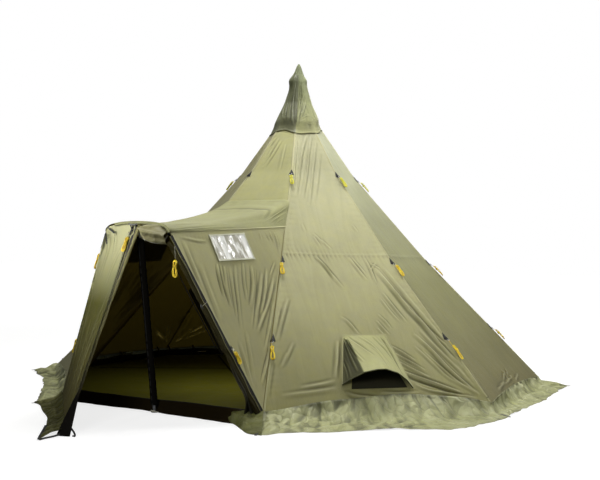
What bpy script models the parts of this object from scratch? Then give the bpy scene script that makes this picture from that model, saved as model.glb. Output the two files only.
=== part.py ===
"""Eight-sided pole tent with a porch, modelled as separate sewn panels, poles and fittings.

Metres, +Z up.  The porch points to -Y.  The ground is z = 0 and the origin is the middle of the
footprint.  The centre pole stands at (0, Y_POLE).
"""
import math

import bmesh
import bpy
from mathutils import Matrix, Vector

for ob in list(bpy.data.objects):
    bpy.data.objects.remove(ob, do_unlink=True)

# ---------------------------------------------------------------- driving dimensions
SIDES = 8
R_HEM = 2.800            # corner radius of the wall hem
Z_HEM = 0.090            # height of the hem over the ground
R_LOW, Z_LOW = 2.2065, 0.691      # low guy ring
R_MID, Z_MID = 1.498, 1.401       # middle guy ring, the horizontal seam
R_UPP, Z_UPP = 0.656, 2.349       # upper guy ring
Z_APEX = 3.291           # where the ridge lines would meet
Z_TOP_EDGE = 3.165       # where the walls end under the cap
Y_POLE = 0.576           # centre pole, so that the origin is the middle of the footprint
CLOTH = 0.002            # thickness of the cloth solids
SEAM = 0.002             # half of the gap at a ridge

R_TIP = 3.100            # corner radius of the pegged skirt tips
SKIRT_T = 0.003

# porch
SHOULDER_X, SHOULDER_Y, SHOULDER_Z = 0.330, -2.920, 1.570
BOW_TOP_Z = 1.645
SEAM_R, SEAM_Z = 1.234, 1.700      # where the eave seam meets the ridge
ROOF_R, ROOF_Z = 0.999, 1.963      # where the porch roof meets the cone
DOOR_TOP = (-0.004, -2.940, 1.628)
DOOR_SHOULDER = (-0.334, -2.942, 1.556)
DOOR_HEEL = (-1.083, -2.606, 0.084)
DOOR_TOE = (-0.004, -3.720, 0.050)
TOE_TIP_Y = -4.020
PORCH_POLE_BASE = (0.0, -2.625, 0.0)
PORCH_POLE_TOP = (0.0, -2.905, 1.610)

# vent in the panel at azimuth 45, in the slope frame of that panel (u along the hem, v up the slope)
VENT_U = 0.025
VENT_V0, VENT_V1 = 0.200, 0.790
HOOD_TOP_HALF, HOOD_LIP_HALF, HOOD_STAND = 0.213, 0.345, 0.195
OPEN_V0, OPEN_V1, OPEN_HALF0, OPEN_HALF1 = 0.205, 0.420, 0.270, 0.210

# centre pole
POLE_OD, POLE_WALL, POLE_CLEAR = 0.040, 0.0016, 0.0004
POLE_JOINT_1, POLE_JOINT_2 = 1.180, 2.200
POLE_LAP = 0.200
SPIKE_TOP = 3.628

HALF = math.pi / SIDES
TAN, SIN, COS = math.tan(HALF), math.sin(HALF), math.cos(HALF)


def V(*a):
    return Vector(a)


# ---------------------------------------------------------------- materials
PALETTE = {
    "olive_cloth": ((0.30, 0.29, 0.15), 0.75, 0.0),
    "olive_shade": ((0.24, 0.24, 0.12), 0.75, 0.0),
    "skirt_cloth": ((0.36, 0.38, 0.20), 0.80, 0.0),
    "cap_cloth": ((0.22, 0.23, 0.13), 0.55, 0.0),
    "clear_film": ((0.55, 0.56, 0.54), 0.15, 0.0),
    "black_cloth": ((0.02, 0.02, 0.02), 0.80, 0.0),
    "ground_cloth": ((0.14, 0.15, 0.04), 0.70, 0.0),
    "alloy": ((0.70, 0.71, 0.72), 0.35, 1.0),
    "dark_rod": ((0.03, 0.03, 0.035), 0.45, 0.0),
    "black_plastic": ((0.025, 0.025, 0.028), 0.50, 0.0),
    "yellow_cord": ((0.75, 0.60, 0.06), 0.65, 0.0),
}


def material_for(name, kind):
    colour, rough, metal = PALETTE[kind]
    m = bpy.data.materials.new(name + "_mat")
    m.use_nodes = True
    b = m.node_tree.nodes["Principled BSDF"]
    b.inputs["Base Color"].default_value = (*colour, 1.0)
    b.inputs["Roughness"].default_value = rough
    b.inputs["Metallic"].default_value = metal
    return m


def add(name, bm, kind, origin=None, smooth=False):
    """Finish a bmesh as one object; origin moves the object's own origin to a world point."""
    bmesh.ops.recalc_face_normals(bm, faces=bm.faces[:])
    if bm.calc_volume(signed=True) < 0:
        bmesh.ops.reverse_faces(bm, faces=bm.faces[:])
    me = bpy.data.meshes.new(name)
    shift = V(0, Y_POLE, 0)
    o = V(*origin) + shift if origin is not None else V(0, 0, 0)
    bmesh.ops.translate(bm, verts=bm.verts[:], vec=shift - o)
    bm.to_mesh(me)
    bm.free()
    if smooth:
        me.shade_smooth()
        me.set_sharp_from_angle(angle=math.radians(35))
    ob = bpy.data.objects.new(name, me)
    ob.location = o
    bpy.context.scene.collection.objects.link(ob)
    me.materials.append(material_for(name, kind))
    return ob


def grid_solid(outer, inner):
    """Closed solid between two equal grids of points, rows by columns."""
    bm = bmesh.new()
    rows, cols = len(outer), len(outer[0])
    a = [[bm.verts.new(p) for p in row] for row in outer]
    b = [[bm.verts.new(p) for p in row] for row in inner]
    for i in range(rows - 1):
        for j in range(cols - 1):
            bm.faces.new((a[i][j], a[i][j + 1], a[i + 1][j + 1], a[i + 1][j]))
            bm.faces.new((b[i][j], b[i + 1][j], b[i + 1][j + 1], b[i][j + 1]))
    rim = [(0, j) for j in range(cols)] + [(i, cols - 1) for i in range(1, rows)]
    rim += [(rows - 1, j) for j in range(cols - 2, -1, -1)] + [(i, 0) for i in range(rows - 2, 0, -1)]
    for k in range(len(rim)):
        (i, j), (m, n) = rim[k], rim[(k + 1) % len(rim)]
        bm.faces.new((a[i][j], b[i][j], b[m][n], a[m][n]))
    return bm


def sheet_solid(pts, thickness, inward):
    """Solid of a grid of surface points, thickened against the side that 'inward' points to."""
    rows, cols = len(pts), len(pts[0])
    inner = []
    for i in range(rows):
        row = []
        for j in range(cols):
            du = pts[i][min(j + 1, cols - 1)] - pts[i][max(j - 1, 0)]
            dv = pts[min(i + 1, rows - 1)][j] - pts[max(i - 1, 0)][j]
            n = du.cross(dv).normalized()
            if n.dot(inward(pts[i][j])) < 0:
                n = -n
            row.append(pts[i][j] + n * thickness)
        inner.append(row)
    return grid_solid(pts, inner)


def prism(poly, depth):
    """Closed prism of a planar polygon moved by the vector depth."""
    bm = bmesh.new()
    a = [bm.verts.new(p) for p in poly]
    b = [bm.verts.new(p + depth) for p in poly]
    bm.faces.new(a)
    bm.faces.new(list(reversed(b)))
    n = len(a)
    for i in range(n):
        bm.faces.new((a[i], b[i], b[(i + 1) % n], a[(i + 1) % n]))
    return bm


def frame_along(d):
    d = d.normalized()
    side = d.cross(V(0, 0, 1))
    if side.length < 1e-6:
        side = V(1, 0, 0)
    side.normalize()
    return side, side.cross(d).normalized()


def tube(p0, p1, r_out, r_in=0.0, seg=20):
    """Round tube or rod from p0 to p1."""
    p0, p1 = V(*p0), V(*p1)
    e1, e2 = frame_along(p1 - p0)
    bm = bmesh.new()

    def ring(c, r):
        return [bm.verts.new(c + (e1 * math.cos(t) + e2 * math.sin(t)) * r)
                for t in (2 * math.pi * k / seg for k in range(seg))]
    a, b = ring(p0, r_out), ring(p1, r_out)
    for k in range(seg):
        bm.faces.new((a[k], a[(k + 1) % seg], b[(k + 1) % seg], b[k]))
    if r_in > 0:
        c, d = ring(p0, r_in), ring(p1, r_in)
        for k in range(seg):
            n = (k + 1) % seg
            bm.faces.new((c[k], d[k], d[n], c[n]))
            bm.faces.new((a[k], c[k], c[n], a[n]))
            bm.faces.new((b[k], b[n], d[n], d[k]))
    else:
        bm.faces.new(list(reversed(a)))
        bm.faces.new(b)
    return bm


def turned(profile, seg=24, centre=(0, 0)):
    """Solid turned about the vertical through centre; the profile is a closed list of (r, z)."""
    bm = bmesh.new()
    rings = []
    for r, z in profile:
        rings.append([bm.verts.new((centre[0] + r * math.cos(t), centre[1] + r * math.sin(t), z))
                      for t in (2 * math.pi * k / seg for k in range(seg))])
    n = len(rings)
    for i in range(n):
        p, q = rings[i], rings[(i + 1) % n]
        for k in range(seg):
            bm.faces.new((p[k], p[(k + 1) % seg], q[(k + 1) % seg], q[k]))
    return bm


def swept(path, radii, seg=10):
    """Round bar along a list of points with a radius at each."""
    bm = bmesh.new()
    rings = []
    n = len(path)
    e1 = None
    for i, p in enumerate(path):
        d = (path[min(i + 1, n - 1)] - path[max(i - 1, 0)]).normalized()
        if e1 is None:
            e1, _ = frame_along(d)
        e1 = (e1 - d * e1.dot(d)).normalized()
        e2 = d.cross(e1)
        rings.append([bm.verts.new(p + (e1 * math.cos(t) + e2 * math.sin(t)) * radii[i])
                      for t in (2 * math.pi * k / seg for k in range(seg))])
    for i in range(n - 1):
        for k in range(seg):
            m = (k + 1) % seg
            bm.faces.new((rings[i][k], rings[i][m], rings[i + 1][m], rings[i + 1][k]))
    bm.faces.new(list(reversed(rings[0])))
    bm.faces.new(rings[-1])
    return bm


def box(lo, hi):
    bm = bmesh.new()
    bmesh.ops.create_cube(bm, size=1.0)
    for v in bm.verts:
        v.co = V(*(lo[k] + (v.co[k] + 0.5) * (hi[k] - lo[k]) for k in range(3)))
    return bm


def smooth_path(pts, per=6):
    """Catmull-Rom points through a coarse path."""
    pts = [V(*p) for p in pts]
    ext = [pts[0] * 2 - pts[1]] + pts + [pts[-1] * 2 - pts[-2]]
    out = []
    for i in range(1, len(ext) - 2):
        a, b, c, d = ext[i - 1], ext[i], ext[i + 1], ext[i + 2]
        for k in range(per):
            t = k / per
            out.append(0.5 * ((2 * b) + (c - a) * t + (2 * a - 5 * b + 4 * c - d) * t * t
                              + (3 * b - 3 * c + d - a) * t ** 3))
    out.append(pts[-1])
    return out


# ---------------------------------------------------------------- the cone
def ridge_r(z):
    """Corner radius of the cone at a height."""
    prof = [(R_HEM, Z_HEM), (R_LOW, Z_LOW), (R_MID, Z_MID), (R_UPP, Z_UPP), (0.0, Z_APEX)]
    for (r0, z0), (r1, z1) in zip(prof, prof[1:]):
        if z <= z1:
            return r0 + (r1 - r0) * (z - z0) / (z1 - z0)
    return 0.0


def az_rot(deg):
    """Turn a point of the porch side (azimuth 0, towards -Y) to another side."""
    return Matrix.Rotation(math.radians(deg), 3, "Z")


def wall_bm(heights):
    """One side of the cone for azimuth 0: outer surface through the ridge lines, thickened inward."""
    prof = [(ridge_r(z) * COS, z) for z in heights]      # apothem, height
    inner = []
    for i, (a, z) in enumerate(prof):
        a0, z0 = prof[max(i - 1, 0)]
        a1, z1 = prof[min(i + 1, len(prof) - 1)]
        d = V(a1 - a0, z1 - z0).normalized()
        inner.append((a - abs(d[1]) * CLOTH, z - abs(d[0]) * CLOTH))
    fr = (-1.0, -0.5, 0.0, 0.5, 1.0)

    def row(a, z):
        w = a * TAN - SEAM
        return [V(f * w, -a, z) for f in fr]
    return grid_solid([row(a, z) for a, z in prof], [row(a, z) for a, z in inner])


def turn_bm(bm, deg):
    bmesh.ops.rotate(bm, verts=bm.verts[:], cent=(0, 0, 0), matrix=az_rot(deg))
    return bm


WALL_Z = [Z_HEM, Z_LOW, Z_MID, Z_UPP, Z_TOP_EDGE]
add("wall_porch_top", wall_bm([ROOF_Z + 0.002, Z_UPP, Z_TOP_EDGE]), "olive_cloth")

# slope frame of the vent panel (azimuth 45)
ROT45 = az_rot(45)
HEM_MID = ROT45 @ V(0, -R_HEM * COS, Z_HEM)
EX = ROT45 @ V(1, 0, 0)
_up = V(0, (R_HEM - R_LOW) * COS, Z_LOW - Z_HEM).normalized()
EY = ROT45 @ _up
EN = EX.cross(EY).normalized()
if EN.z < 0:
    EN = -EN


def slope(u, v, n=0.0):
    return HEM_MID + EX * u + EY * v + EN * n


for k in range(2, 9):
    az = 45 * (k - 1)
    ob = add("wall_panel_%d" % k, turn_bm(wall_bm(WALL_Z), az), "olive_cloth")
    if k == 2:
        cut = prism([slope(VENT_U - OPEN_HALF0, OPEN_V0, 0.03), slope(VENT_U + OPEN_HALF0, OPEN_V0, 0.03),
                     slope(VENT_U + OPEN_HALF1, OPEN_V1, 0.03), slope(VENT_U - OPEN_HALF1, OPEN_V1, 0.03)],
                    EN * -0.06)
        cutter = add("vent_cutter", cut, "black_plastic")
        cutter.hide_render = True
        cutter.display_type = "WIRE"
        mod = ob.modifiers.new("vent", "BOOLEAN")
        mod.operation = "DIFFERENCE"
        mod.object = cutter

# ---------------------------------------------------------------- snow skirt
MID_W = {2: 0.420, 3: 0.265, 4: 0.215, 5: 0.200, 6: 0.215, 7: 0.200, 8: 0.165}


def skirt_bm(width_mid):
    """Skirt along one side for azimuth 0: hem, knee, ground, outer edge, between radial end lines."""
    n = 8
    a_hem = R_HEM * COS
    cols = []
    for i in range(n + 1):
        f = -1 + 2 * i / n
        tip = R_TIP * COS - a_hem
        w = width_mid + (tip - width_mid) * abs(f) ** 2.2
        line = []
        for s, z in ((0.0, Z_HEM - 0.004), (0.22, 0.030), (0.45, 0.006), (1.0, SKIRT_T)):
            a = a_hem + 0.004 + w * s
            line.append(V(f * (a * TAN - SEAM), -a, z))
        cols.append(line)
    top = [[cols[i][j] for i in range(n + 1)] for j in range(4)]
    bot = [[p - V(0, 0, SKIRT_T) if j > 1 else p + V(0, 0.002, -SKIRT_T) for p in row]
           for j, row in enumerate(top)]
    for row in bot:
        for p in row:
            p.z = max(p.z, 0.0)
    return grid_solid(top, bot)


for k in range(2, 9):
    add("skirt_%d" % k, turn_bm(skirt_bm(MID_W[k]), 45 * (k - 1)), "skirt_cloth")

# ---------------------------------------------------------------- groundsheet and sill
r_g = (R_HEM * COS - 0.032) / COS
poly = [V(r_g * math.sin(math.radians(22.5 + 45 * k)), -r_g * math.cos(math.radians(22.5 + 45 * k)), 0.0)
        for k in range(SIDES)]
add("groundsheet", prism(poly, V(0, 0, 0.003)), "ground_cloth")
add("porch_sill", box((-1.030, -R_HEM * COS + 0.010, 0.0), (1.030, -R_HEM * COS + 0.014, 0.105)), "black_cloth")

# ---------------------------------------------------------------- cap and apex
cap_outer = [(0.305, 2.866), (0.245, 3.000), (0.158, 3.192), (0.088, 3.448), (0.044, 3.560), (0.012, 3.669)]
cap_inner = [(0.008, 3.650), (0.040, 3.545), (0.084, 3.440), (0.154, 3.184), (0.240, 2.995), (0.3005, 2.864)]
CAP_SEG = 16


def cap_bm():
    """Cap: a turned cover, closed at the tip, open below, standing just off the cone."""
    bm = bmesh.new()

    def ring(r, z):
        out = []
        for k in range(CAP_SEG):
            t = 2 * math.pi * (k + 0.5) / CAP_SEG
            out.append(bm.verts.new((r * math.cos(t), r * math.sin(t), z)))
        return out
    oo = [ring(r * 1.035, z) for r, z in cap_outer]
    ii = [ring(r * 1.035, z) for r, z in cap_inner]
    chain = oo + ii
    for p, q in zip(chain, chain[1:]):
        if p is oo[-1]:
            continue
        for k in range(CAP_SEG):
            m = (k + 1) % CAP_SEG
            bm.faces.new((p[k], p[m], q[m], q[k]))
    bm.faces.new(oo[-1])
    bm.faces.new(list(reversed(ii[0])))
    for k in range(CAP_SEG):
        m = (k + 1) % CAP_SEG
        bm.faces.new((ii[-1][k], ii[-1][m], oo[0][m], oo[0][k]))
    return bm


add("cap", cap_bm(), "cap_cloth")
add("apex_crown", turned([(0.012, 3.236), (0.060, 3.130), (0.078, 3.130), (0.034, 3.246), (0.012, 3.246)], 20),
    "black_plastic", smooth=True)

# ---------------------------------------------------------------- centre pole
R1o = POLE_OD / 2
R1i = R1o - POLE_WALL
R2o = R1i - POLE_CLEAR
R2i = R2o - POLE_WALL
R3o = R2i - POLE_CLEAR
R3i = R3o - POLE_WALL
add("pole_foot", turned([(0.0215, 0.0035), (0.070, 0.0035), (0.070, 0.0085), (0.030, 0.018), (0.0270, 0.050),
                         (0.0215, 0.050)], 24), "black_plastic", smooth=True)
add("pole_lower", tube((0, 0, 0.0040), (0, 0, POLE_JOINT_1), R1o, R1i, 24), "alloy", smooth=True)
add("pole_middle", tube((0, 0, POLE_JOINT_1 - POLE_LAP), (0, 0, POLE_JOINT_2), R2o, R2i, 24), "alloy",
    origin=(0, 0, POLE_JOINT_1), smooth=True)
add("pole_upper", tube((0, 0, POLE_JOINT_2 - POLE_LAP), (0, 0, 3.205), R3o, R3i, 24), "alloy",
    origin=(0, 0, POLE_JOINT_2), smooth=True)
add("pole_spike", turned([(0.0, 3.2055), (R3o, 3.2055), (R3o, 3.212), (0.0075, 3.230), (0.0075, 3.600),
                          (0.0, SPIKE_TOP)][1:5] + [(0.0030, SPIKE_TOP), (0.0030, 3.2055)], 16), "alloy",
    origin=(0, 0, 3.2055), smooth=True)


def clamp_set(tag, z, r_tube, r_next):
    """Collar on the end of a pole section, with its cam lever between two lugs on a vertical pin line."""
    px = r_tube + 0.0145
    collar = add("pole_clamp_" + tag, clamp_collar(z, r_tube, r_next), "black_plastic")
    for i, z0 in enumerate((z - 0.0465, z - 0.0135)):
        lug = add("lug_%s_%d" % (tag, i), box((r_tube + 0.004, -0.0055, z0), (px + 0.0055, 0.0055, z0 + 0.006)),
                  "black_plastic")
        lug.hide_render = True
        lug.display_type = "WIRE"
        mod = collar.modifiers.new("lug", "BOOLEAN")
        mod.operation = "UNION"
        mod.object = lug
    # lever: a barrel on the pin line and a curved plate that lies against the collar
    poly = []
    for k in range(7):
        t = math.radians(100 - 90 * k / 6)
        poly.append(V((r_tube + 0.0095) * math.cos(t), (r_tube + 0.0095) * math.sin(t), z - 0.040))
    for k in range(8):
        t = math.radians(160 + 240 * k / 7)
        poly.append(V(px + 0.004 * math.cos(t), 0.004 * math.sin(t), z - 0.040))
    for k in range(7):
        t = math.radians(14 + 86 * k / 6)
        poly.append(V((r_tube + 0.0150) * math.cos(t), (r_tube + 0.0150) * math.sin(t), z - 0.040))
    add("pole_lever_" + tag, prism(poly, V(0, 0, 0.026)), "black_plastic", origin=(px, 0.0, z - 0.027))


def clamp_collar(z, r_tube, r_next):
    """Collar around the tube end, with a lip that steps in over the smaller tube."""
    return turned([(r_tube + 0.0004, z - 0.050), (r_tube + 0.0085, z - 0.050), (r_tube + 0.0085, z + 0.004),
                   (r_next + 0.004, z + 0.010), (r_next + 0.0004, z + 0.010), (r_next + 0.0004, z + 0.0006),
                   (r_tube + 0.0004, z + 0.0006)], 24)


clamp_set("lower", POLE_JOINT_1, R1o, R2o)
clamp_set("upper", POLE_JOINT_2, R2o, R3o)

# ---------------------------------------------------------------- porch
A = V(SHOULDER_X, SHOULDER_Y, SHOULDER_Z)
B = V(SEAM_R * SIN, -SEAM_R * COS, SEAM_Z)
C = V(R_HEM * SIN, -R_HEM * COS, Z_HEM)
WALL_N = (B - A).cross(C - A).normalized()
if WALL_N.x < 0:
    WALL_N = -WALL_N
CEN = (A + B + C) / 3


def shrink(pts, d):
    """Move the sides of a planar polygon inward by d."""
    out = []
    n = len(pts)
    c = sum(pts, V(0, 0, 0)) / n
    nrm = (pts[1] - pts[0]).cross(pts[2] - pts[0]).normalized()
    for i in range(n):
        p, q, r = pts[i - 1], pts[i], pts[(i + 1) % n]
        e1, e2 = (q - p).normalized(), (r - q).normalized()
        n1, n2 = nrm.cross(e1), nrm.cross(e2)
        if n1.dot(c - q) < 0:
            n1 = -n1
        if n2.dot(c - q) < 0:
            n2 = -n2
        b = (n1 + n2)
        out.append(q + b * (d / b.dot(n1)))
    return out


WIN = [V(0.392, -2.424, 1.559), V(0.434, -1.900, 1.598), V(0.545, -1.889, 1.366), V(0.497, -2.415, 1.341)]


def on_wall(p):
    return p - WALL_N * (p - A).dot(WALL_N)


WIN = [on_wall(p) for p in WIN]


def mirror_bm(bm):
    for v in bm.verts:
        v.co.x = -v.co.x
    bmesh.ops.reverse_faces(bm, faces=bm.faces[:])
    return bm


def porch_wall_bm():
    """Triangle wall with the window opening: a ring of quads between the outline and the opening."""
    tri = shrink([A, B, C], 0.004)
    hole = shrink(WIN, 0.018)
    # outline points opposite to the window's corners
    a, b, c = tri
    outline = [a, b, b.lerp(c, 0.50), c, a.lerp(c, 0.40)]
    ring = [hole[0], hole[1], hole[2], hole[2].lerp(hole[3], 0.5), hole[3]]
    bm = bmesh.new()
    back = -WALL_N * CLOTH
    vo = [bm.verts.new(p) for p in outline]
    vi = [bm.verts.new(p) for p in ring]
    wo = [bm.verts.new(p + back) for p in outline]
    wi = [bm.verts.new(p + back) for p in ring]
    n = len(outline)
    for k in range(n):
        m = (k + 1) % n
        bm.faces.new((vo[k], vo[m], vi[m], vi[k]))
        bm.faces.new((wo[k], wi[k], wi[m], wo[m]))
        bm.faces.new((vo[k], wo[k], wo[m], vo[m]))
        bm.faces.new((vi[k], vi[m], wi[m], wi[k]))
    return bm


def window_bm():
    pane = shrink(WIN, 0.0190)
    return prism([p - WALL_N * 0.0004 for p in pane], -WALL_N * 0.0012)


add("porch_wall_right", porch_wall_bm(), "olive_cloth")
add("porch_wall_left", mirror_bm(porch_wall_bm()), "olive_cloth")
add("window_right", window_bm(), "clear_film")
add("window_left", mirror_bm(window_bm()), "clear_film")


def roof_bm():
    """Porch roof: from the bow back to the cone, an arch that sags a little along its length."""
    front = [(-0.331, 1.574), (-0.318, 1.600), (-0.285, 1.622), (-0.200, 1.640), (0.0, BOW_TOP_Z),
             (0.200, 1.640), (0.285, 1.622), (0.318, 1.600), (0.331, 1.574)]
    yb, xb = -ROOF_R * COS, ROOF_R * SIN
    e = B + WALL_N * 0.0
    back = [(-e.x, e.y, e.z + 0.004), (-e.x * 0.91, e.y + 0.105, e.z + 0.130), (-xb, yb, ROOF_Z - 0.008),
            (-xb * 0.55, yb, ROOF_Z), (0.0, yb, ROOF_Z), (xb * 0.55, yb, ROOF_Z), (xb, yb, ROOF_Z - 0.008),
            (e.x * 0.91, e.y + 0.105, e.z + 0.130), (e.x, e.y, e.z + 0.004)]
    rows = []
    n = 7
    for i in range(n + 1):
        t = i / n
        row = []
        for j in range(9):
            f = V(front[j][0], SHOULDER_Y, front[j][1])
            g = V(*back[j]) + V(0, -0.003, 0)
            p = f.lerp(g, t)
            edge = abs(j - 4) / 4
            p.z -= 0.075 * 4 * t * (1 - t) * (1 - edge ** 3)
            row.append(p)
        rows.append(row)
    return sheet_solid(rows, CLOTH, lambda p: V(0, 0, 1.2) - V(p.x, 0, p.z))


add("porch_roof", roof_bm(), "olive_cloth")

# bow and porch pole
bow = smooth_path([(-0.305, -2.905, 1.545), (-0.292, -2.905, 1.585), (-0.240, -2.905, 1.612), (-0.120, -2.905, 1.625),
                   (0.0, -2.905, 1.6285), (0.120, -2.905, 1.625), (0.240, -2.905, 1.612), (0.292, -2.905, 1.585),
                   (0.305, -2.905, 1.545)], 3)
P0, P1 = V(*PORCH_POLE_BASE), V(*PORCH_POLE_TOP)
PD = (P1 - P0).normalized()
PL = (P1 - P0).length


def on_pole(s):
    return P0 + PD * s


add("porch_bow", swept(bow, [0.0065] * len(bow), 10), "dark_rod", origin=tuple(P1), smooth=True)
add("porch_pole_foot", turned([(0.0, 0.0)][0:0] + [(0.004, 0.0), (0.034, 0.0), (0.034, 0.008), (0.018, 0.0135),
                              (0.004, 0.0135)], 20, centre=(0.0, P0.y - 0.002)), "black_plastic", smooth=True)
add("porch_pole_lower", tube(on_pole(0.0185), on_pole(0.940), 0.0160, 0.0144, 20), "dark_rod", smooth=True)
add("porch_pole_upper", tube(on_pole(0.740), on_pole(PL - 0.002), 0.0140, 0.0124, 20), "dark_rod",
    origin=tuple(on_pole(0.940)), smooth=True)
add("porch_pole_sleeve", tube(on_pole(0.075), on_pole(PL - 0.085), 0.0300, 0.0260, 20), "black_cloth", smooth=True)

# ---------------------------------------------------------------- doors
T, L, HEEL, TOE = V(*DOOR_TOP), V(*DOOR_SHOULDER), V(*DOOR_HEEL), V(*DOOR_TOE)
DOOR_AXIS = (L - HEEL).normalized()


def door_pt(u, v):
    """u from the leg edge (0) to the zip edge (1), v from the top (0) to the hem (1)."""
    return L.lerp(T, u).lerp(HEEL.lerp(TOE, u), v)


add("door_left", sheet_solid([[door_pt(u / 4, v / 6) for u in range(5)] for v in range(7)], CLOTH,
                             lambda p: V(0, -2.6, 0.8) - p), "olive_cloth", origin=tuple(HEEL))


def skirt_strip(hem, outer, drop=(1.0, 0.35, 0.06, 0.0)):
    """Skirt between a hem line and an outer ground line, both lists of points."""
    rows = []
    for s, d in zip((0.0, 0.22, 0.45, 1.0), drop):
        row = []
        for h, o in zip(hem, outer):
            p = V(h.x, h.y, 0).lerp(V(o.x, o.y, 0), s)
            p.z = max(h.z * d, SKIRT_T)
            row.append(p)
        rows.append(row)
    low = [[V(p.x, p.y, max(p.z - SKIRT_T, 0.0)) for p in row] for row in rows]
    return grid_solid(rows, low)


heel_tip = V(-R_TIP * SIN, -R_TIP * COS, 0)
toe_tip = V(-0.004, TOE_TIP_Y, 0)
dip = V(-0.660, -3.290, 0)
hem, outer = [], []
nrm = V(-(TOE - HEEL).normalized().y * -1, 0, 0)
out_dir = V(-0.727, -0.687, 0)
for i in range(9):
    f = i / 8
    h = HEEL.lerp(TOE, f) + out_dir * 0.003
    h.z -= 0.004
    hem.append(h)
    q = (1 - f) ** 2 * (heel_tip + V(0.006, -0.004, 0)) + 2 * f * (1 - f) * (dip * 2 - (heel_tip + toe_tip) / 2) + f * f * toe_tip
    outer.append(q)
add("skirt_door_left", skirt_strip(hem, outer), "skirt_cloth", origin=tuple(HEEL))

# short skirt tongue on the right of the porch, from the sill to the ridge base
hem = [V(0.60, -2.612, 0.055), V(0.80, -2.606, 0.070), V(1.00, -2.600, 0.082), V(1.060, -2.598, 0.084)]
outer = [V(0.66, -2.690, 0), V(0.86, -2.745, 0), V(1.06, -2.850, 0), V(R_TIP * SIN - 0.006, -R_TIP * COS, 0)]
add("skirt_porch_right", skirt_strip(hem, outer), "skirt_cloth")

LEG = [A + (C - A) * t for t in (0.10, 0.26, 0.44, 0.62, 0.80, 0.94)]
roll_path = smooth_path([(0.055, -2.990, 1.560), (0.150, -2.996, 1.535), (0.255, -2.992, 1.480)]
                        + [tuple(p + V(-0.052, -0.048, -0.01)) for p in LEG[0:]], 2)
n = len(roll_path)
add("door_right_rolled", swept(roll_path, [0.026 + 0.016 * min(1.0, i / (0.6 * n)) for i in range(n)], 10),
    "olive_shade", smooth=True)

ZD = (T - TOE).normalized()
zip_c = TOE + ZD * 0.060 + V(0.0115, 0, 0)


def zip_bm():
    """Slider body with its pull tab hanging in front of it."""
    side = V(1, 0, 0)
    front = ZD.cross(side).normalized()
    if front.y > 0:
        front = -front
    pts = [(-0.006, -0.012), (0.006, -0.012), (0.006, 0.012), (-0.006, 0.012)]
    body = [zip_c + side * a + ZD * b - front * 0.004 for a, b in pts]
    bm = prism(body, front * 0.008)
    return bm


add("zip_slider", zip_bm(), "black_plastic", origin=tuple(zip_c))

# ---------------------------------------------------------------- vent
def hood_bm():
    rows = []
    for i in range(7):
        s = i / 6                                   # 0 at the top edge, 1 at the lip
        v = VENT_V1 + (VENT_V0 + 0.012 - VENT_V1) * s
        half = HOOD_TOP_HALF + (HOOD_LIP_HALF - HOOD_TOP_HALF) * s
        row = []
        for j in range(9):
            f = -1 + j / 4
            n = 0.006 + HOOD_STAND * s ** 1.15 * (1 - f * f) ** 0.8
            row.append(slope(VENT_U + half * f, v + 0.035 * s * (1 - f * f), n))
        rows.append(row)
    return sheet_solid(rows, CLOTH, lambda p: -EN)


add("vent_hood", hood_bm(), "olive_shade")

FLAP_OPEN = 0.740          # hangs straight down from its hinge
hinge = slope(VENT_U, OPEN_V1 + 0.018, -0.010)
flap = prism([slope(VENT_U - OPEN_HALF1 - 0.01, OPEN_V1 + 0.014, -0.009),
              slope(VENT_U + OPEN_HALF1 + 0.01, OPEN_V1 + 0.014, -0.009),
              slope(VENT_U + OPEN_HALF0 + 0.01, OPEN_V0 - 0.012, -0.009),
              slope(VENT_U - OPEN_HALF0 - 0.01, OPEN_V0 - 0.012, -0.009)], EN * -0.002)
bmesh.ops.rotate(flap, verts=flap.verts[:], cent=hinge, matrix=Matrix.Rotation(FLAP_OPEN, 3, EX))
test = sum((v.co for v in flap.verts), V(0, 0, 0)) / len(flap.verts)
if (test - hinge).dot(EN) > 0:
    bmesh.ops.rotate(flap, verts=flap.verts[:], cent=hinge, matrix=Matrix.Rotation(-2 * FLAP_OPEN, 3, EX))
add("vent_flap", flap, "olive_cloth", origin=tuple(hinge))

# ---------------------------------------------------------------- guyline hanks
HANK_L, HANK_W, HANK_T = 0.165, 0.042, 0.014


def hank_bm(top, down, out, length=HANK_L, width=HANK_W, thick=HANK_T):
    """Stadium outline of a bundled line that hangs from 'top' along 'down' with its back at 'out' = 0."""
    down = down.normalized()
    side = down.cross(out).normalized()
    nrm = side.cross(down).normalized()
    if nrm.dot(out) < 0:
        nrm = -nrm
    r = width / 2
    poly = []
    for k in range(7):
        t = math.pi * k / 6
        poly.append(top + down * (r - r * math.sin(t)) + side * (r * math.cos(t)))
    for k in range(7):
        t = math.pi + math.pi * k / 6
        poly.append(top + down * (length - r - r * math.sin(t)) + side * (r * math.cos(t)))
    return prism([p for p in poly], nrm * thick)


def ridge_pt(az, z):
    r = ridge_r(z)
    t = math.radians(az)
    return V(r * math.sin(t), -r * math.cos(t), z)


def ridge_hank(name, az, z_ring, drop=0.090, shift=0.0):
    """Hank below a guy-out patch on a ridge, lying down the ridge line."""
    t = math.radians(az)
    up = ridge_pt(az, z_ring)
    low = ridge_pt(az, z_ring - 0.25)
    down = (low - up).normalized()
    radial = V(math.sin(t), -math.cos(t), 0)
    out = (radial - down * radial.dot(down)).normalized()
    tang = down.cross(out)
    top = up + down * drop + out * 0.006 + tang * shift
    add(name, hank_bm(top, down, out), "yellow_cord")
    return top, down, out


for tag, z in (("upper", Z_UPP), ("middle", Z_MID), ("lower", Z_LOW)):
    ridge_hank("guyline_a_" + tag, 22.5, z, shift=-0.028)
    ridge_hank("guyline_b_" + tag, 67.5, z)
    ridge_hank("guyline_c_" + tag, 112.5, z)
ridge_hank("guyline_h_upper", -67.5, Z_UPP)

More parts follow.
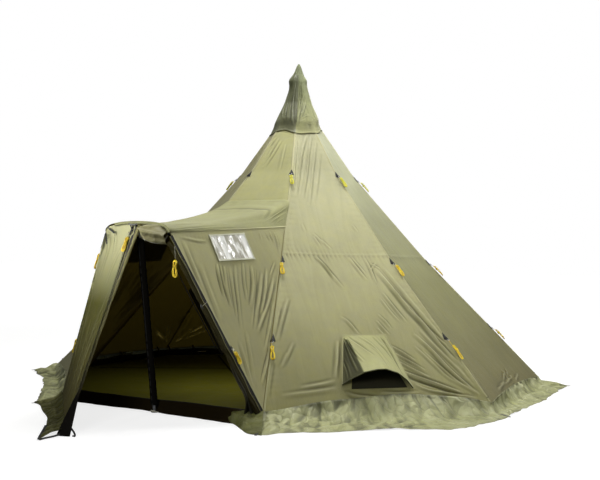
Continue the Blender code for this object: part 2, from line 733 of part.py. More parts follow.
# porch hanks: two on each leg, one at the top centre that rides on the left door
leg_dir = (C - A).normalized()
out_wall = WALL_N


def leg_hank(name, t, mirror, back):
    top = A + (C - A) * t + out_wall * 0.006 + (B - A).normalized() * back
    bm = hank_bm(top, leg_dir, out_wall)
    if mirror:
        mirror_bm(bm)
    add(name, bm, "yellow_cord")


leg_hank("guyline_porch_left_upper", 0.130, True, 0.045)
leg_hank("guyline_porch_left_lower", 0.660, True, 0.045)
leg_hank("guyline_porch_right_lower", 0.660, False, 0.045)
# the right shoulder's line hangs free inside the doorway edge
top = V(0.340, -3.085, 1.385)
add("guyline_porch_right_upper", hank_bm(top, V(0, 0, -1), V(0.2, -1, 0)), "yellow_cord")
# top centre line lies on the left door beside the zip
top = door_pt(0.86, 0.085)
nd = (door_pt(1.0, 0.1) - door_pt(0.7, 0.1)).cross(door_pt(0.86, 0.2) - door_pt(0.86, 0.0)).normalized()
if nd.y > 0:
    nd = -nd
add("guyline_porch_centre", hank_bm(top + nd * 0.010, door_pt(0.86, 0.3) - door_pt(0.86, 0.085), nd), "yellow_cord",
    origin=tuple(HEEL))
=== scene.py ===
"""Looks for the eight-sided pole tent with a porch: cloth sheets, trim, cords, materials, light and camera.

Everything is worked out in the tent's own frame, with the centre pole at x 0, y 0 and the porch towards -Y,
and moved by Y_POLE when a mesh is made. Metres, +Z up.
"""
import math
import bmesh
import bpy
import numpy as np
from mathutils import Matrix, Vector


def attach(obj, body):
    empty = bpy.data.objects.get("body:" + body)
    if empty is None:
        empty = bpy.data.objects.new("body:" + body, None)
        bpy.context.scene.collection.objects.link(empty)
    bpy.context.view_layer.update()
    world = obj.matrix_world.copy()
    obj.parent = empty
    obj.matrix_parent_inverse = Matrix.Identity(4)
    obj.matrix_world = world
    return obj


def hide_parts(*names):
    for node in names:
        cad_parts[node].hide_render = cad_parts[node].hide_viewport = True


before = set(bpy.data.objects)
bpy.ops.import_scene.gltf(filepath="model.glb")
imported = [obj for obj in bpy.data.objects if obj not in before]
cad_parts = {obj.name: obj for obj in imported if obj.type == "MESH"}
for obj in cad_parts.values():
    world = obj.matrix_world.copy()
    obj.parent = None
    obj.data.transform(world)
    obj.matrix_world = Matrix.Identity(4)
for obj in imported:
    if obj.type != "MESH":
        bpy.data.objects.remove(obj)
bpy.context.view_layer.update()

scene = bpy.context.scene
Y_POLE = 0.576
SHIFT = np.array([0.0, Y_POLE, 0.0])
ROOT = "tent"

# ---------------------------------------------------------------- dimensions, as in the CAD
HALF = math.pi / 8
TAN, SIN, COS = math.tan(HALF), math.sin(HALF), math.cos(HALF)
R_HEM, Z_HEM = 2.800, 0.090
RINGS = {"upper": (0.656, 2.349), "middle": (1.498, 1.401), "lower": (2.2065, 0.691)}
PROFILE = [(2.800, 0.090), (2.2065, 0.691), (1.498, 1.401), (0.656, 2.349), (0.0, 3.291)]
R_TIP = 3.100
ROOF_R, ROOF_Z = 0.999, 1.963
SEAM_R, SEAM_Z = 1.234, 1.700
A = np.array([0.330, -2.920, 1.570])
B = np.array([SEAM_R * SIN, -SEAM_R * COS, SEAM_Z])
C = np.array([R_HEM * SIN, -R_HEM * COS, Z_HEM])
DOOR_TOP = np.array([-0.004, -2.940, 1.628])
DOOR_SHOULDER = np.array([-0.334, -2.942, 1.556])
DOOR_HEEL = np.array([-1.083, -2.606, 0.084])
DOOR_TOE = np.array([-0.004, -3.720, 0.050])
POLE_BASE = np.array([0.0, -2.625, 0.0])
POLE_TOP = np.array([0.0, -2.905, 1.610])


# ---------------------------------------------------------------- small maths
def rotz(p, deg):
    t = math.radians(deg)
    c, s = math.cos(t), math.sin(t)
    p = np.asarray(p, float)
    return np.stack([c * p[..., 0] - s * p[..., 1], s * p[..., 0] + c * p[..., 1], p[..., 2]], axis=-1)


def unit(v):
    v = np.asarray(v, float)
    return v / np.maximum(np.linalg.norm(v, axis=-1, keepdims=True), 1e-12)


E1 = unit(B - A)       # along the eave of the right porch wall


def hash2(i, j, seed):
    n = np.sin(i * 127.1 + j * 311.7 + seed * 74.71) * 43758.5453
    return n - np.floor(n)


def noise2(x, y, seed=0):
    """Smooth value noise, -1 to 1."""
    xi, yi = np.floor(x), np.floor(y)
    fx, fy = x - xi, y - yi
    fx, fy = fx * fx * fx * (fx * (fx * 6 - 15) + 10), fy * fy * fy * (fy * (fy * 6 - 15) + 10)
    a, b = hash2(xi, yi, seed), hash2(xi + 1, yi, seed)
    c, d = hash2(xi, yi + 1, seed), hash2(xi + 1, yi + 1, seed)
    return 2 * ((a * (1 - fx) + b * fx) * (1 - fy) + (c * (1 - fx) + d * fx) * fy) - 1


def fbm(x, y, seed=0, octaves=3, gain=0.5):
    out, amp, tot = 0.0, 1.0, 0.0
    for k in range(octaves):
        out = out + amp * noise2(x * 2 ** k + 17.3 * k, y * 2 ** k + 5.1 * k, seed + k)
        tot += amp
        amp *= gain
    return out / tot


def ridged(x, y, seed=0, octaves=3):
    out, amp, tot = 0.0, 1.0, 0.0
    for k in range(octaves):
        out = out + amp * (1 - np.abs(noise2(x * 1.9 ** k + 3.7 * k, y * 1.9 ** k + 9.2 * k, seed + k)) * 2)
        tot += amp
        amp *= 0.55
    return out / tot


def facets(x, y, seed=0):
    """Flat triangles that meet in sharp creases, -1 to 1."""
    k = (x + y) * 0.3660254
    i, j = np.floor(x + k), np.floor(y + k)
    u, v = x + k - i, y + k - j
    h00, h11 = hash2(i, j, seed), hash2(i + 1, j + 1, seed)
    lo = h00 * (1 - u) + hash2(i + 1, j, seed) * (u - v) + h11 * v
    up = h00 * (1 - v) + hash2(i, j + 1, seed) * (v - u) + h11 * u
    return 2 * np.where(u > v, lo, up) - 1


def smooth01(t):
    t = np.clip(t, 0, 1)
    return t * t * (3 - 2 * t)


def spline(pts, n):
    """n points along a smooth line through pts, evenly spread by length."""
    pts = np.asarray(pts, float)
    if len(pts) < 3:
        t = np.linspace(0, 1, n)[:, None]
        return pts[0] * (1 - t) + pts[-1] * t
    ext = np.vstack([2 * pts[0] - pts[1], pts, 2 * pts[-1] - pts[-2]])
    out = []
    for i in range(1, len(ext) - 2):
        a, b, c, d = ext[i - 1:i + 3]
        for t in np.linspace(0, 1, 24, endpoint=False):
            out.append(0.5 * (2 * b + (c - a) * t + (2 * a - 5 * b + 4 * c - d) * t * t + (3 * b - 3 * c + d - a) * t ** 3))
    out.append(pts[-1])
    return evenly(np.array(out), n)


def evenly(line, n):
    s = np.concatenate([[0], np.cumsum(np.linalg.norm(np.diff(line, axis=0), axis=1))])
    at = np.linspace(0, s[-1], n)
    return np.stack([np.interp(at, s, line[:, k]) for k in range(line.shape[1])], axis=1)


def length_of(line):
    return float(np.linalg.norm(np.diff(line, axis=0), axis=1).sum())


def folds(U, V, strokes, gain=1.0):
    """Height of drawn folds: each is a line of points, a half width and a height; a furrow runs beside each."""
    D = np.zeros_like(U)
    for pts, w, amp in strokes:
        line = spline(np.array(pts, float), 10 if len(pts) > 2 else 6)
        lo, hi = line.min(0) - 4 * w, line.max(0) + 4 * w
        m = (U > lo[0]) & (U < hi[0]) & (V > lo[1]) & (V < hi[1])
        if not m.any():
            continue
        u, v = U[m], V[m]
        best = np.full(u.shape, 1e9)
        side = np.zeros(u.shape)
        along = np.zeros(u.shape)
        n = len(line) - 1
        for i in range(n):
            a, b = line[i], line[i + 1]
            d = b - a
            L = max(np.hypot(*d), 1e-9)
            t = np.clip(((u - a[0]) * d[0] + (v - a[1]) * d[1]) / L ** 2, 0, 1)
            px, py = u - a[0] - t * d[0], v - a[1] - t * d[1]
            dist = np.hypot(px, py)
            sgn = np.sign(d[0] * py - d[1] * px)
            near = dist < best
            best = np.where(near, dist, best)
            side = np.where(near, dist * sgn, side)
            along = np.where(near, (i + t) / n, along)
        taper = np.clip(np.sin(np.pi * np.clip(along, 0.0, 1.0)), 0, 1) ** 0.7
        q = side / w
        q = q * 1.55
        D[m] += gain * amp * taper * (np.exp(-np.abs(q) ** 1.25) - 0.62 * np.exp(-((q - 1.5) / 0.75) ** 2) - 0.30 * np.exp(-(q + 1.8) ** 2))
    return D


def grid_normals(P):
    du = np.gradient(P, axis=1)
    dv = np.gradient(P, axis=0)
    return unit(np.cross(du, dv))


# ---------------------------------------------------------------- meshes
def make_mesh(name, verts, faces, uv=None, mat=None, smooth=True, shift=True):
    """verts (n, 3), faces as a list or an array, uv (n, 2) per point."""
    me = bpy.data.meshes.new(name)
    v = np.asarray(verts, float) + (SHIFT if shift else 0)
    me.from_pydata([tuple(p) for p in v], [], [tuple(int(i) for i in f) for f in faces])
    if uv is not None:
        layer = me.uv_layers.new(name="UVMap")
        idx = np.zeros(len(me.loops), np.int32)
        me.loops.foreach_get("vertex_index", idx)
        layer.data.foreach_set("uv", np.asarray(uv, np.float32)[idx].ravel())
    if smooth:
        me.shade_smooth()
    me.update()
    ob = bpy.data.objects.new(name, me)
    scene.collection.objects.link(ob)
    if mat is not None:
        me.materials.append(mat)
    return ob


def grid_faces(rows, cols, mask=None, wrap=False, flip=False):
    r = np.arange(rows - 1)[:, None]
    c = np.arange(cols if wrap else cols - 1)[None, :]
    c2 = (c + 1) % cols
    f = np.stack([r * cols + c, r * cols + c2, (r + 1) * cols + c2, (r + 1) * cols + c], axis=-1)
    if flip:
        f = f[..., ::-1]
    if mask is not None:
        f = f[mask]
    return f.reshape(-1, 4)


def soften(D, r):
    """Box blur of a height grid, r cells to each side."""
    for axis in (0, 1):
        pad = [(r, r) if k == axis else (0, 0) for k in range(2)]
        Q = np.pad(D, pad, mode="edge")
        c = np.cumsum(Q, axis=axis)
        c = np.concatenate([np.zeros_like(c.take([0], axis)), c], axis)
        n = D.shape[axis]
        D = (c.take(range(2 * r + 1, 2 * r + 1 + n), axis) - c.take(range(0, n), axis)) / (2 * r + 1)
    return D


def crease(D, r=4, deep=0.006, most=0.75):
    """Painted shade in the furrows of cloth and a painted highlight on its crests: above 0 darker, below 0 paler."""
    h = soften(soften(D, r), r) - D
    return np.clip(h / deep, -0.8, 1.0) * most


# Stores painted shade (above 0) and painted highlight (below 0) per point in the fold attribute that the cloth
# materials read.
def store_painted_shading(ob, values):
    at = ob.data.attributes.new("fold", "FLOAT", "POINT")
    v = np.zeros(len(ob.data.vertices), np.float32)
    v[:len(values)] = values
    at.data.foreach_set("value", v)


def sheet_from(name, P, mat, uv=None, mask=None, wrap=False, flip=False, inner=None, out=None, thick=0.0014, painted_shading=None):
    """Surface from a grid of points. With inner, a second face lies thick behind it, away from out, and the rim is closed."""
    # The optional per-point values are painted shade and painted highlight, stored in the fold attribute.
    if painted_shading is not None:
        tn = np.broadcast_to(painted_shading, P.shape[:2]).reshape(-1)
        if mask is not None:
            tn = tn[np.unique(grid_faces(*P.shape[:2], mask, wrap))]
        ob = sheet_from(name, P, mat, uv, mask, wrap, flip, inner, out, thick)
        store_painted_shading(ob, tn)
        return ob
    rows, cols = P.shape[:2]
    f = grid_faces(rows, cols, mask, wrap)
    verts = P.reshape(-1, 3)
    uvs = None if uv is None else uv.reshape(-1, 2)
    if wrap:
        Q = np.concatenate([P[:, -1:], P, P[:, :1]], axis=1)
        nrm = grid_normals(Q)[:, 1:-1].reshape(-1, 3)
    else:
        nrm = grid_normals(P).reshape(-1, 3)
    if out is not None:
        o = np.broadcast_to(np.asarray(out, float), P.shape).reshape(-1, 3)
        turn = (nrm * o).sum(-1).mean() < 0
        if turn:
            nrm = -nrm
            f = f[:, ::-1]
    elif flip:
        f = f[:, ::-1]
    if mask is not None:
        used = np.unique(f)
        back = np.full(len(verts), -1)
        back[used] = np.arange(len(used))
        f = back[f]
        verts, nrm = verts[used], nrm[used]
        uvs = None if uvs is None else uvs[used]
    if inner is None:
        return make_mesh(name, verts, f, uvs, mat)
    n = len(verts)
    edges = np.concatenate([f[:, [0, 1]], f[:, [1, 2]], f[:, [2, 3]], f[:, [3, 0]]])
    key = edges[:, 0].astype(np.int64) * n + edges[:, 1]
    twin = edges[:, 1].astype(np.int64) * n + edges[:, 0]
    rim = edges[~np.isin(key, twin)]
    rim_f = np.stack([rim[:, 1], rim[:, 0], rim[:, 0] + n, rim[:, 1] + n], axis=1)
    faces = np.concatenate([f, f[:, ::-1] + n, rim_f])
    both = np.concatenate([verts, verts - nrm * thick])
    uv2 = None if uvs is None else np.concatenate([uvs, uvs])
    ob = make_mesh(name, both, faces, uv2, mat)
    ob.data.materials.append(inner)
    idx = np.zeros(len(faces), np.int32)
    idx[len(f):2 * len(f)] = 1
    ob.data.polygons.foreach_set("material_index", idx)
    ob.data.update()
    return ob


def area_of(P):
    a, b, c, d = P[:-1, :-1], P[:-1, 1:], P[1:, 1:], P[1:, :-1]
    t1 = np.linalg.norm(np.cross(b - a, c - a), axis=-1).sum() / 2
    t2 = np.linalg.norm(np.cross(c - a, d - a), axis=-1).sum() / 2
    return float(t1 + t2)


def mask_area(P, mask):
    a, b, c, d = P[:-1, :-1], P[:-1, 1:], P[1:, 1:], P[1:, :-1]
    t = (np.linalg.norm(np.cross(b - a, c - a), axis=-1) + np.linalg.norm(np.cross(c - a, d - a), axis=-1)) / 2
    return float(t[mask].sum())


def cloth_piece(ob, body, nodes=(), flat=None, area=None):
    """Ride on a body and stand for CAD nodes; the flat size is worked out from flat and area but not kept."""
    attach(ob, body)
    if nodes:
        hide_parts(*nodes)
    if flat is not None:
        w, l = max(flat), min(flat)
        if area is not None:
            area = min(area, flat[0] * flat[1])
            if area < 0.31 * flat[0] * flat[1]:
                k = math.sqrt(area / 0.5 / (flat[0] * flat[1]))
                flat = (flat[0] * k, flat[1] * k)
    return ob


def tube_mesh(name, line, radius, mat, seg=8, caps=True):
    """A round tube along a line in the tent's frame; radius is a number or one per point."""
    line = np.asarray(line, float)
    n = len(line)
    rad = np.broadcast_to(np.asarray(radius, float), (n,))
    T = unit(np.gradient(line, axis=0))
    e = np.cross(T[0], [0, 0, 1.0])
    if np.linalg.norm(e) < 1e-4:
        e = np.array([1.0, 0, 0])
    e = unit(e)
    rings = []
    for i in range(n):
        e = unit(e - T[i] * (e @ T[i]))
        b = np.cross(T[i], e)
        ang = np.linspace(0, 2 * np.pi, seg, endpoint=False)
        rings.append(line[i] + rad[i] * (np.cos(ang)[:, None] * e + np.sin(ang)[:, None] * b))
    V_ = np.array(rings)
    f = [tuple(q) for q in grid_faces(n, seg, wrap=True)]
    verts = V_.reshape(-1, 3)
    if caps:
        f.append(tuple(range(seg - 1, -1, -1)))
        f.append(tuple((n - 1) * seg + k for k in range(seg)))
    s = np.concatenate([[0], np.cumsum(np.linalg.norm(np.diff(line, axis=0), axis=1))])
    uv = np.stack([np.broadcast_to(np.arange(seg) / seg, (n, seg)), np.broadcast_to(s[:, None], (n, seg))], -1)
    return make_mesh(name, verts, f, uv.reshape(-1, 2), mat)


def ribbon(name, line, width, normals, mat, lift=0.0, thick=0.0012, twist=None):
    """Flat webbing along a line: closed thin solid, width across, normals give its face."""
    line = np.asarray(line, float)
    n = len(line)
    T = unit(np.gradient(line, axis=0))
    N = unit(np.broadcast_to(np.asarray(normals, float), (n, 3)))
    S_ = unit(np.cross(T, N))
    N = unit(np.cross(S_, T))
    w = np.broadcast_to(np.asarray(width, float), (n,))[:, None] / 2
    lf = np.broadcast_to(np.asarray(lift, float), (n,))[:, None]
    base = line + N * lf
    ring = np.stack([base - S_ * w, base - S_ * w + N * thick, base + N * thick * 1.15, base + S_ * w + N * thick,
                     base + S_ * w, base], axis=1)
    f = [tuple(q) for q in grid_faces(n, 6, wrap=True)]
    f.append(tuple(range(5, -1, -1)))
    f.append(tuple((n - 1) * 6 + k for k in range(6)))
    s = np.concatenate([[0], np.cumsum(np.linalg.norm(np.diff(line, axis=0), axis=1))])
    u = np.array([-1, -1, 0, 1, 1, 0.0])[None, :] * w
    uv = np.stack([np.broadcast_to(u, (n, 6)), np.broadcast_to(s[:, None], (n, 6))], -1)
    return make_mesh(name, ring.reshape(-1, 3), f, uv.reshape(-1, 2), mat, smooth=False)


def join(name, obs):
    """Join mesh objects into one."""
    me_v, me_f, me_m, me_uv, mats, smooth = [], [], [], [], [], []
    base = 0
    for o in obs:
        m = o.data
        co = np.zeros(len(m.vertices) * 3, np.float32)
        m.vertices.foreach_get("co", co)
        me_v.append(co.reshape(-1, 3))
        slots = []
        for mt in m.materials:
            if mt not in mats:
                mats.append(mt)
            slots.append(mats.index(mt))
        uvl = m.uv_layers.active
        for p in m.polygons:
            me_f.append([base + i for i in p.vertices])
            me_m.append(slots[p.material_index] if slots else 0)
            smooth.append(p.use_smooth)
            for li in p.loop_indices:
                me_uv.append(tuple(uvl.data[li].uv) if uvl else (0.0, 0.0))
        base += len(m.vertices)
    me = bpy.data.meshes.new(name)
    me.from_pydata(np.vstack(me_v).tolist(), [], me_f)
    layer = me.uv_layers.new(name="UVMap")
    layer.data.foreach_set("uv", np.array(me_uv, np.float32).ravel())
    for mt in mats:
        me.materials.append(mt)
    me.polygons.foreach_set("material_index", me_m)
    me.polygons.foreach_set("use_smooth", smooth)
    me.update()
    ob = bpy.data.objects.new(name, me)
    scene.collection.objects.link(ob)
    for o in obs:
        bpy.data.objects.remove(o, do_unlink=True)
    return ob


# ---------------------------------------------------------------- materials
def srgb(r, g, b):
    return tuple(((c / 255) / 12.92 if c / 255 <= 0.04045 else ((c / 255 + 0.055) / 1.055) ** 2.4) for c in (r, g, b))


class Nodes:
    """Short way to build a node tree."""

    def __init__(self, name):
        self.m = bpy.data.materials.new(name)
        self.m.use_nodes = True
        self.t = self.m.node_tree
        self.bsdf = self.t.nodes["Principled BSDF"]
        self.out = self.t.nodes["Material Output"]

    def n(self, kind, **props):
        node = self.t.nodes.new(kind)
        for k, v in props.items():
            setattr(node, k, v)
        return node

    def link(self, a, b):
        self.t.links.new(a, b)

    def math(self, op, a, b=None, c=None, clamp=False):
        node = self.n("ShaderNodeMath", operation=op, use_clamp=clamp)
        for i, x in enumerate((a, b, c)):
            if x is None:
                continue
            if isinstance(x, (int, float)):
                node.inputs[i].default_value = x
            else:
                self.link(x, node.inputs[i])
        return node.outputs[0]

    def remap(self, x, a, b, c, d, clamp=True, kind="LINEAR"):
        node = self.n("ShaderNodeMapRange", clamp=clamp, interpolation_type=kind)
        self.link(x, node.inputs["Value"])
        for k, v in zip(("From Min", "From Max", "To Min", "To Max"), (a, b, c, d)):
            node.inputs[k].default_value = v
        return node.outputs["Result"]

    def mix(self, fac, a, b, blend="MIX"):
        node = self.n("ShaderNodeMix", data_type="RGBA", blend_type=blend)
        for sock, x in ((node.inputs[0], fac), (node.inputs[6], a), (node.inputs[7], b)):
            if isinstance(x, (int, float)):
                sock.default_value = x
            elif isinstance(x, tuple):
                sock.default_value = (*x[:3], 1.0)
            else:
                self.link(x, sock)
        return node.outputs[2]

    def noise(self, coord, scale, detail=3.0, rough=0.5, dist=0.0):
        node = self.n("ShaderNodeTexNoise")
        self.link(coord, node.inputs["Vector"])
        node.inputs["Scale"].default_value = scale
        node.inputs["Detail"].default_value = detail
        node.inputs["Roughness"].default_value = rough
        node.inputs["Distortion"].default_value = dist
        return node.outputs["Fac"]

    def scaled(self, coord, s):
        node = self.n("ShaderNodeMapping")
        self.link(coord, node.inputs["Vector"])
        node.inputs["Scale"].default_value = s
        return node.outputs["Vector"]

    def bump(self, height, distance, strength=1.0, normal=None):
        node = self.n("ShaderNodeBump")
        self.link(height, node.inputs["Height"])
        node.inputs["Distance"].default_value = distance
        node.inputs["Strength"].default_value = strength
        if normal is not None:
            self.link(normal, node.inputs["Normal"])
        return node.outputs["Normal"]

    def set(self, **kw):
        for k, v in kw.items():
            k = k.replace("_", " ")
            if isinstance(v, (int, float)):
                self.bsdf.inputs[k].default_value = v
            elif isinstance(v, tuple):
                self.bsdf.inputs[k].default_value = (*v[:3], 1.0)
            else:
                self.link(v, self.bsdf.inputs[k])


def cloth(name, low, high, z0=0.1, z1=3.0, rough=0.72, sheen=0.12, crinkle=0.0, crinkle_scale=14.0, mottle=0.10,
          weave=0.00045, mid=None, spec=0.28, through=0.0, stitch=False, glow=None, streak=0.0, crush=0.0):
    """Woven coated cloth: its own olive, ramped from low to high up the tent as painted shade (darker low down, paler
    up high), mottling, weave threads, fine creases, and painted shade and highlight from the fold attribute.
    """
    N = Nodes(name)
    tc = N.n("ShaderNodeTexCoord")
    obj, uv = tc.outputs["Object"], tc.outputs["UV"]
    sep = N.n("ShaderNodeSeparateXYZ")
    N.link(obj, sep.inputs[0])
    z = sep.outputs[2]
    # painted shade: the colour runs from the darker low colour near the ground to the paler high colour up the tent
    t = N.remap(z, z0, z1, 0, 1)
    if mid is not None:
        ramp = N.n("ShaderNodeValToRGB")
        ramp.color_ramp.elements[0].color = (*low, 1)
        ramp.color_ramp.elements[1].color = (*high, 1)
        e = ramp.color_ramp.elements.new(mid[0])
        e.color = (*mid[1], 1)
        N.link(t, ramp.inputs[0])
        col = ramp.outputs[0]
    else:
        col = N.mix(t, low, high)
    big = N.noise(obj, 1.3, 4.0, 0.55)
    small = N.noise(obj, 9.0, 3.0, 0.6)
    grain = N.noise(N.scaled(obj, (1, 1, 0.35)), 160.0, 2.0, 0.6)
    val = N.math("ADD", N.remap(big, 0.3, 0.7, 1 - mottle, 1 + mottle), N.remap(small, 0.3, 0.7, -0.35 * mottle, 0.35 * mottle))
    val = N.math("ADD", val, N.remap(grain, 0.25, 0.75, -0.25 * mottle, 0.25 * mottle))
    hsv = N.n("ShaderNodeHueSaturation")
    N.link(col, hsv.inputs["Color"])
    N.link(val, hsv.inputs["Value"])
    N.link(N.remap(small, 0.3, 0.7, 0.94, 1.06), hsv.inputs["Saturation"])
    base = hsv.outputs[0]
    # painted shade and highlight from the fold attribute: above 0 darkens creases, hems and the hood's gusset, below 0
    # pales the crests
    fold = N.n("ShaderNodeAttribute", attribute_name="fold").outputs["Fac"]
    base = N.mix(N.remap(fold, 0.0, 1.0, 0.0, 0.80), base, tuple(c * 0.16 for c in low))
    base = N.mix(N.remap(fold, 1.0, 2.0, 0.0, 0.75), base, tuple(c * 0.05 for c in low))
    base = N.mix(N.remap(fold, -1.0, 0.0, 0.30, 0.0), base, tuple(min(1.0, c * 1.25 + 0.12) for c in high))
    wx = N.n("ShaderNodeTexWave", wave_type="BANDS", bands_direction="X", wave_profile="SIN")
    wy = N.n("ShaderNodeTexWave", wave_type="BANDS", bands_direction="Y", wave_profile="SIN")
    for w in (wx, wy):
        N.link(uv, w.inputs["Vector"])
        w.inputs["Scale"].default_value = 240.0
        w.inputs["Distortion"].default_value = 0.4
        w.inputs["Detail"].default_value = 1.0
    thread = N.math("MAXIMUM", wx.outputs["Fac"], wy.outputs["Fac"])
    base = N.mix(N.remap(thread, 0.3, 1.0, 0.10, 0.0), base, tuple(c * 0.45 for c in low))
    if stitch:
        su = N.n("ShaderNodeSeparateXYZ")
        N.link(uv, su.inputs[0])
        line = N.math("LESS_THAN", N.math("ABSOLUTE", N.math("SUBTRACT", N.math("ABSOLUTE", su.outputs[0]), 0.0072)), 0.0009)
        dash = N.math("LESS_THAN", N.math("FRACT", N.math("MULTIPLY", su.outputs[1], 260.0)), 0.62)
        base = N.mix(N.math("MULTIPLY", N.math("MULTIPLY", line, dash), 0.75), base, tuple(c * 0.35 for c in low))
    nrm = N.bump(thread, weave, 0.55)
    micro = N.noise(N.scaled(obj, (1, 1, 0.7)), 38.0, 4.0, 0.62, 0.6)
    nrm = N.bump(micro, 0.0022, 0.35, nrm)
    if streak > 0:
        run = N.noise(N.scaled(uv, (1, 0.10, 1)), 9.0, 3.0, 0.55, 1.2)
        nrm = N.bump(N.math("ABSOLUTE", N.math("SUBTRACT", run, 0.5)), streak, 0.8, nrm)
        base = N.mix(N.remap(run, 0.35, 0.65, 0.10, 0.0), base, tuple(c * 0.55 for c in low))
    if crush > 0:
        ve = N.n("ShaderNodeTexVoronoi", feature="DISTANCE_TO_EDGE")
        warp = N.n("ShaderNodeTexNoise")
        N.link(uv, warp.inputs["Vector"])
        warp.inputs["Scale"].default_value = 7.0
        amt = N.n("ShaderNodeVectorMath", operation="SCALE")
        N.link(warp.outputs["Color"], amt.inputs[0])
        amt.inputs["Scale"].default_value = 0.14
        shf = N.n("ShaderNodeVectorMath", operation="ADD")
        N.link(uv, shf.inputs[0])
        N.link(amt.outputs[0], shf.inputs[1])
        N.link(N.scaled(shf.outputs[0], (1, 0.62, 1)), ve.inputs["Vector"])
        ve.inputs["Scale"].default_value = 10.0
        nrm = N.bump(N.remap(ve.outputs["Distance"], 0.0, 0.30, 0.0, 1.0), crush, 0.9, nrm)
        # painted shade: darker along the crease lines of the crush
        base = N.mix(N.remap(ve.outputs["Distance"], 0.0, 0.045, 0.30, 0.0), base, tuple(c * 0.4 for c in low))
    if crinkle > 0:
        cr = N.n("ShaderNodeTexVoronoi", feature="SMOOTH_F1")
        wob = N.n("ShaderNodeVectorMath", operation="ADD")
        nz = N.n("ShaderNodeTexNoise")
        N.link(obj, nz.inputs["Vector"])
        nz.inputs["Scale"].default_value = crinkle_scale * 0.6
        scl = N.n("ShaderNodeVectorMath", operation="SCALE")
        N.link(nz.outputs["Color"], scl.inputs[0])
        scl.inputs["Scale"].default_value = 0.10
        N.link(obj, wob.inputs[0])
        N.link(scl.outputs[0], wob.inputs[1])
        N.link(wob.outputs[0], cr.inputs["Vector"])
        cr.inputs["Scale"].default_value = crinkle_scale
        nrm = N.bump(cr.outputs["Distance"], crinkle, 0.9, nrm)
        # painted shade: darker in the hollows of the crinkle
        base = N.mix(N.remap(cr.outputs["Distance"], 0.0, 0.6, 0.12, 0.0), base, tuple(c * 0.5 for c in low))
    N.set(Base_Color=base, Roughness=N.remap(small, 0.3, 0.7, rough - 0.05, rough + 0.05), Normal=nrm)
    N.bsdf.inputs["Specular IOR Level"].default_value = spec
    N.bsdf.inputs["Sheen Weight"].default_value = sheen
    N.bsdf.inputs["Sheen Roughness"].default_value = 0.5
    N.bsdf.inputs["Sheen Tint"].default_value = (0.9, 0.88, 0.75, 1)
    if through > 0:
        tr = N.n("ShaderNodeBsdfTranslucent")
        if glow is None:
            N.link(base, tr.inputs["Color"])
        else:
            N.link(N.mix(N.remap(big, 0.3, 0.7, 0.0, 0.35), glow, tuple(c * 0.6 for c in glow)), tr.inputs["Color"])
        N.link(nrm, tr.inputs["Normal"])
        ms = N.n("ShaderNodeMixShader")
        ms.inputs[0].default_value = through
        N.link(N.bsdf.outputs[0], ms.inputs[1])
        N.link(tr.outputs[0], ms.inputs[2])
        N.link(ms.outputs[0], N.out.inputs["Surface"])
    return N.m


def plain(name, colour, rough=0.5, metal=0.0, spec=0.4, bump_scale=220.0, bump=0.0003, vary=0.12, weave=False):
    """Moulded, webbing or metal finish with grain, slight wear and no flat colour."""
    N = Nodes(name)
    tc = N.n("ShaderNodeTexCoord")
    obj, uv = tc.outputs["Object"], tc.outputs["UV"]
    a = N.noise(obj, 14.0, 4.0, 0.6)
    b = N.noise(obj, bump_scale, 3.0, 0.6)
    hsv = N.n("ShaderNodeHueSaturation")
    hsv.inputs["Color"].default_value = (*colour, 1)
    N.link(N.math("ADD", N.remap(a, 0.3, 0.7, 1 - vary, 1 + vary), N.remap(b, 0.3, 0.7, -vary / 2, vary / 2)), hsv.inputs["Value"])
    base = hsv.outputs[0]
    nrm = N.bump(b, bump, 0.6)
    if weave:
        w = N.n("ShaderNodeTexWave", wave_type="BANDS", bands_direction="DIAGONAL", wave_profile="TRI")
        N.link(uv, w.inputs["Vector"])
        w.inputs["Scale"].default_value = 120.0
        nrm = N.bump(w.outputs["Fac"], 0.0005, 0.6, nrm)
        base = N.mix(N.remap(w.outputs["Fac"], 0, 1, 0.25, 0.0), base, tuple(c * 0.4 for c in colour))
    N.set(Base_Color=base, Roughness=N.remap(a, 0.3, 0.7, max(rough - 0.08, 0.05), min(rough + 0.08, 1.0)), Metallic=metal, Normal=nrm)
    N.bsdf.inputs["Specular IOR Level"].default_value = spec
    return N.m


def cord_material(name, colour, dark):
    """Braided cord: diagonal strands along its length with a darker fleck."""
    N = Nodes(name)
    tc = N.n("ShaderNodeTexCoord")
    obj = tc.outputs["Object"]
    w1 = N.n("ShaderNodeTexWave", wave_type="BANDS", bands_direction="DIAGONAL", wave_profile="TRI")
    N.link(obj, w1.inputs["Vector"])
    w1.inputs["Scale"].default_value = 150.0
    w1.inputs["Distortion"].default_value = 2.0
    fleck = N.noise(obj, 90.0, 2.0, 0.5)
    base = N.mix(N.remap(fleck, 0.52, 0.66, 0.0, 0.75), colour, dark)
    base = N.mix(N.remap(w1.outputs["Fac"], 0, 1, 0.22, 0.0), base, tuple(c * 0.5 for c in colour))
    N.set(Base_Color=base, Roughness=0.6, Normal=N.bump(w1.outputs["Fac"], 0.0004, 0.7))
    N.bsdf.inputs["Sheen Weight"].default_value = 0.1
    return N.m


MAT = {}
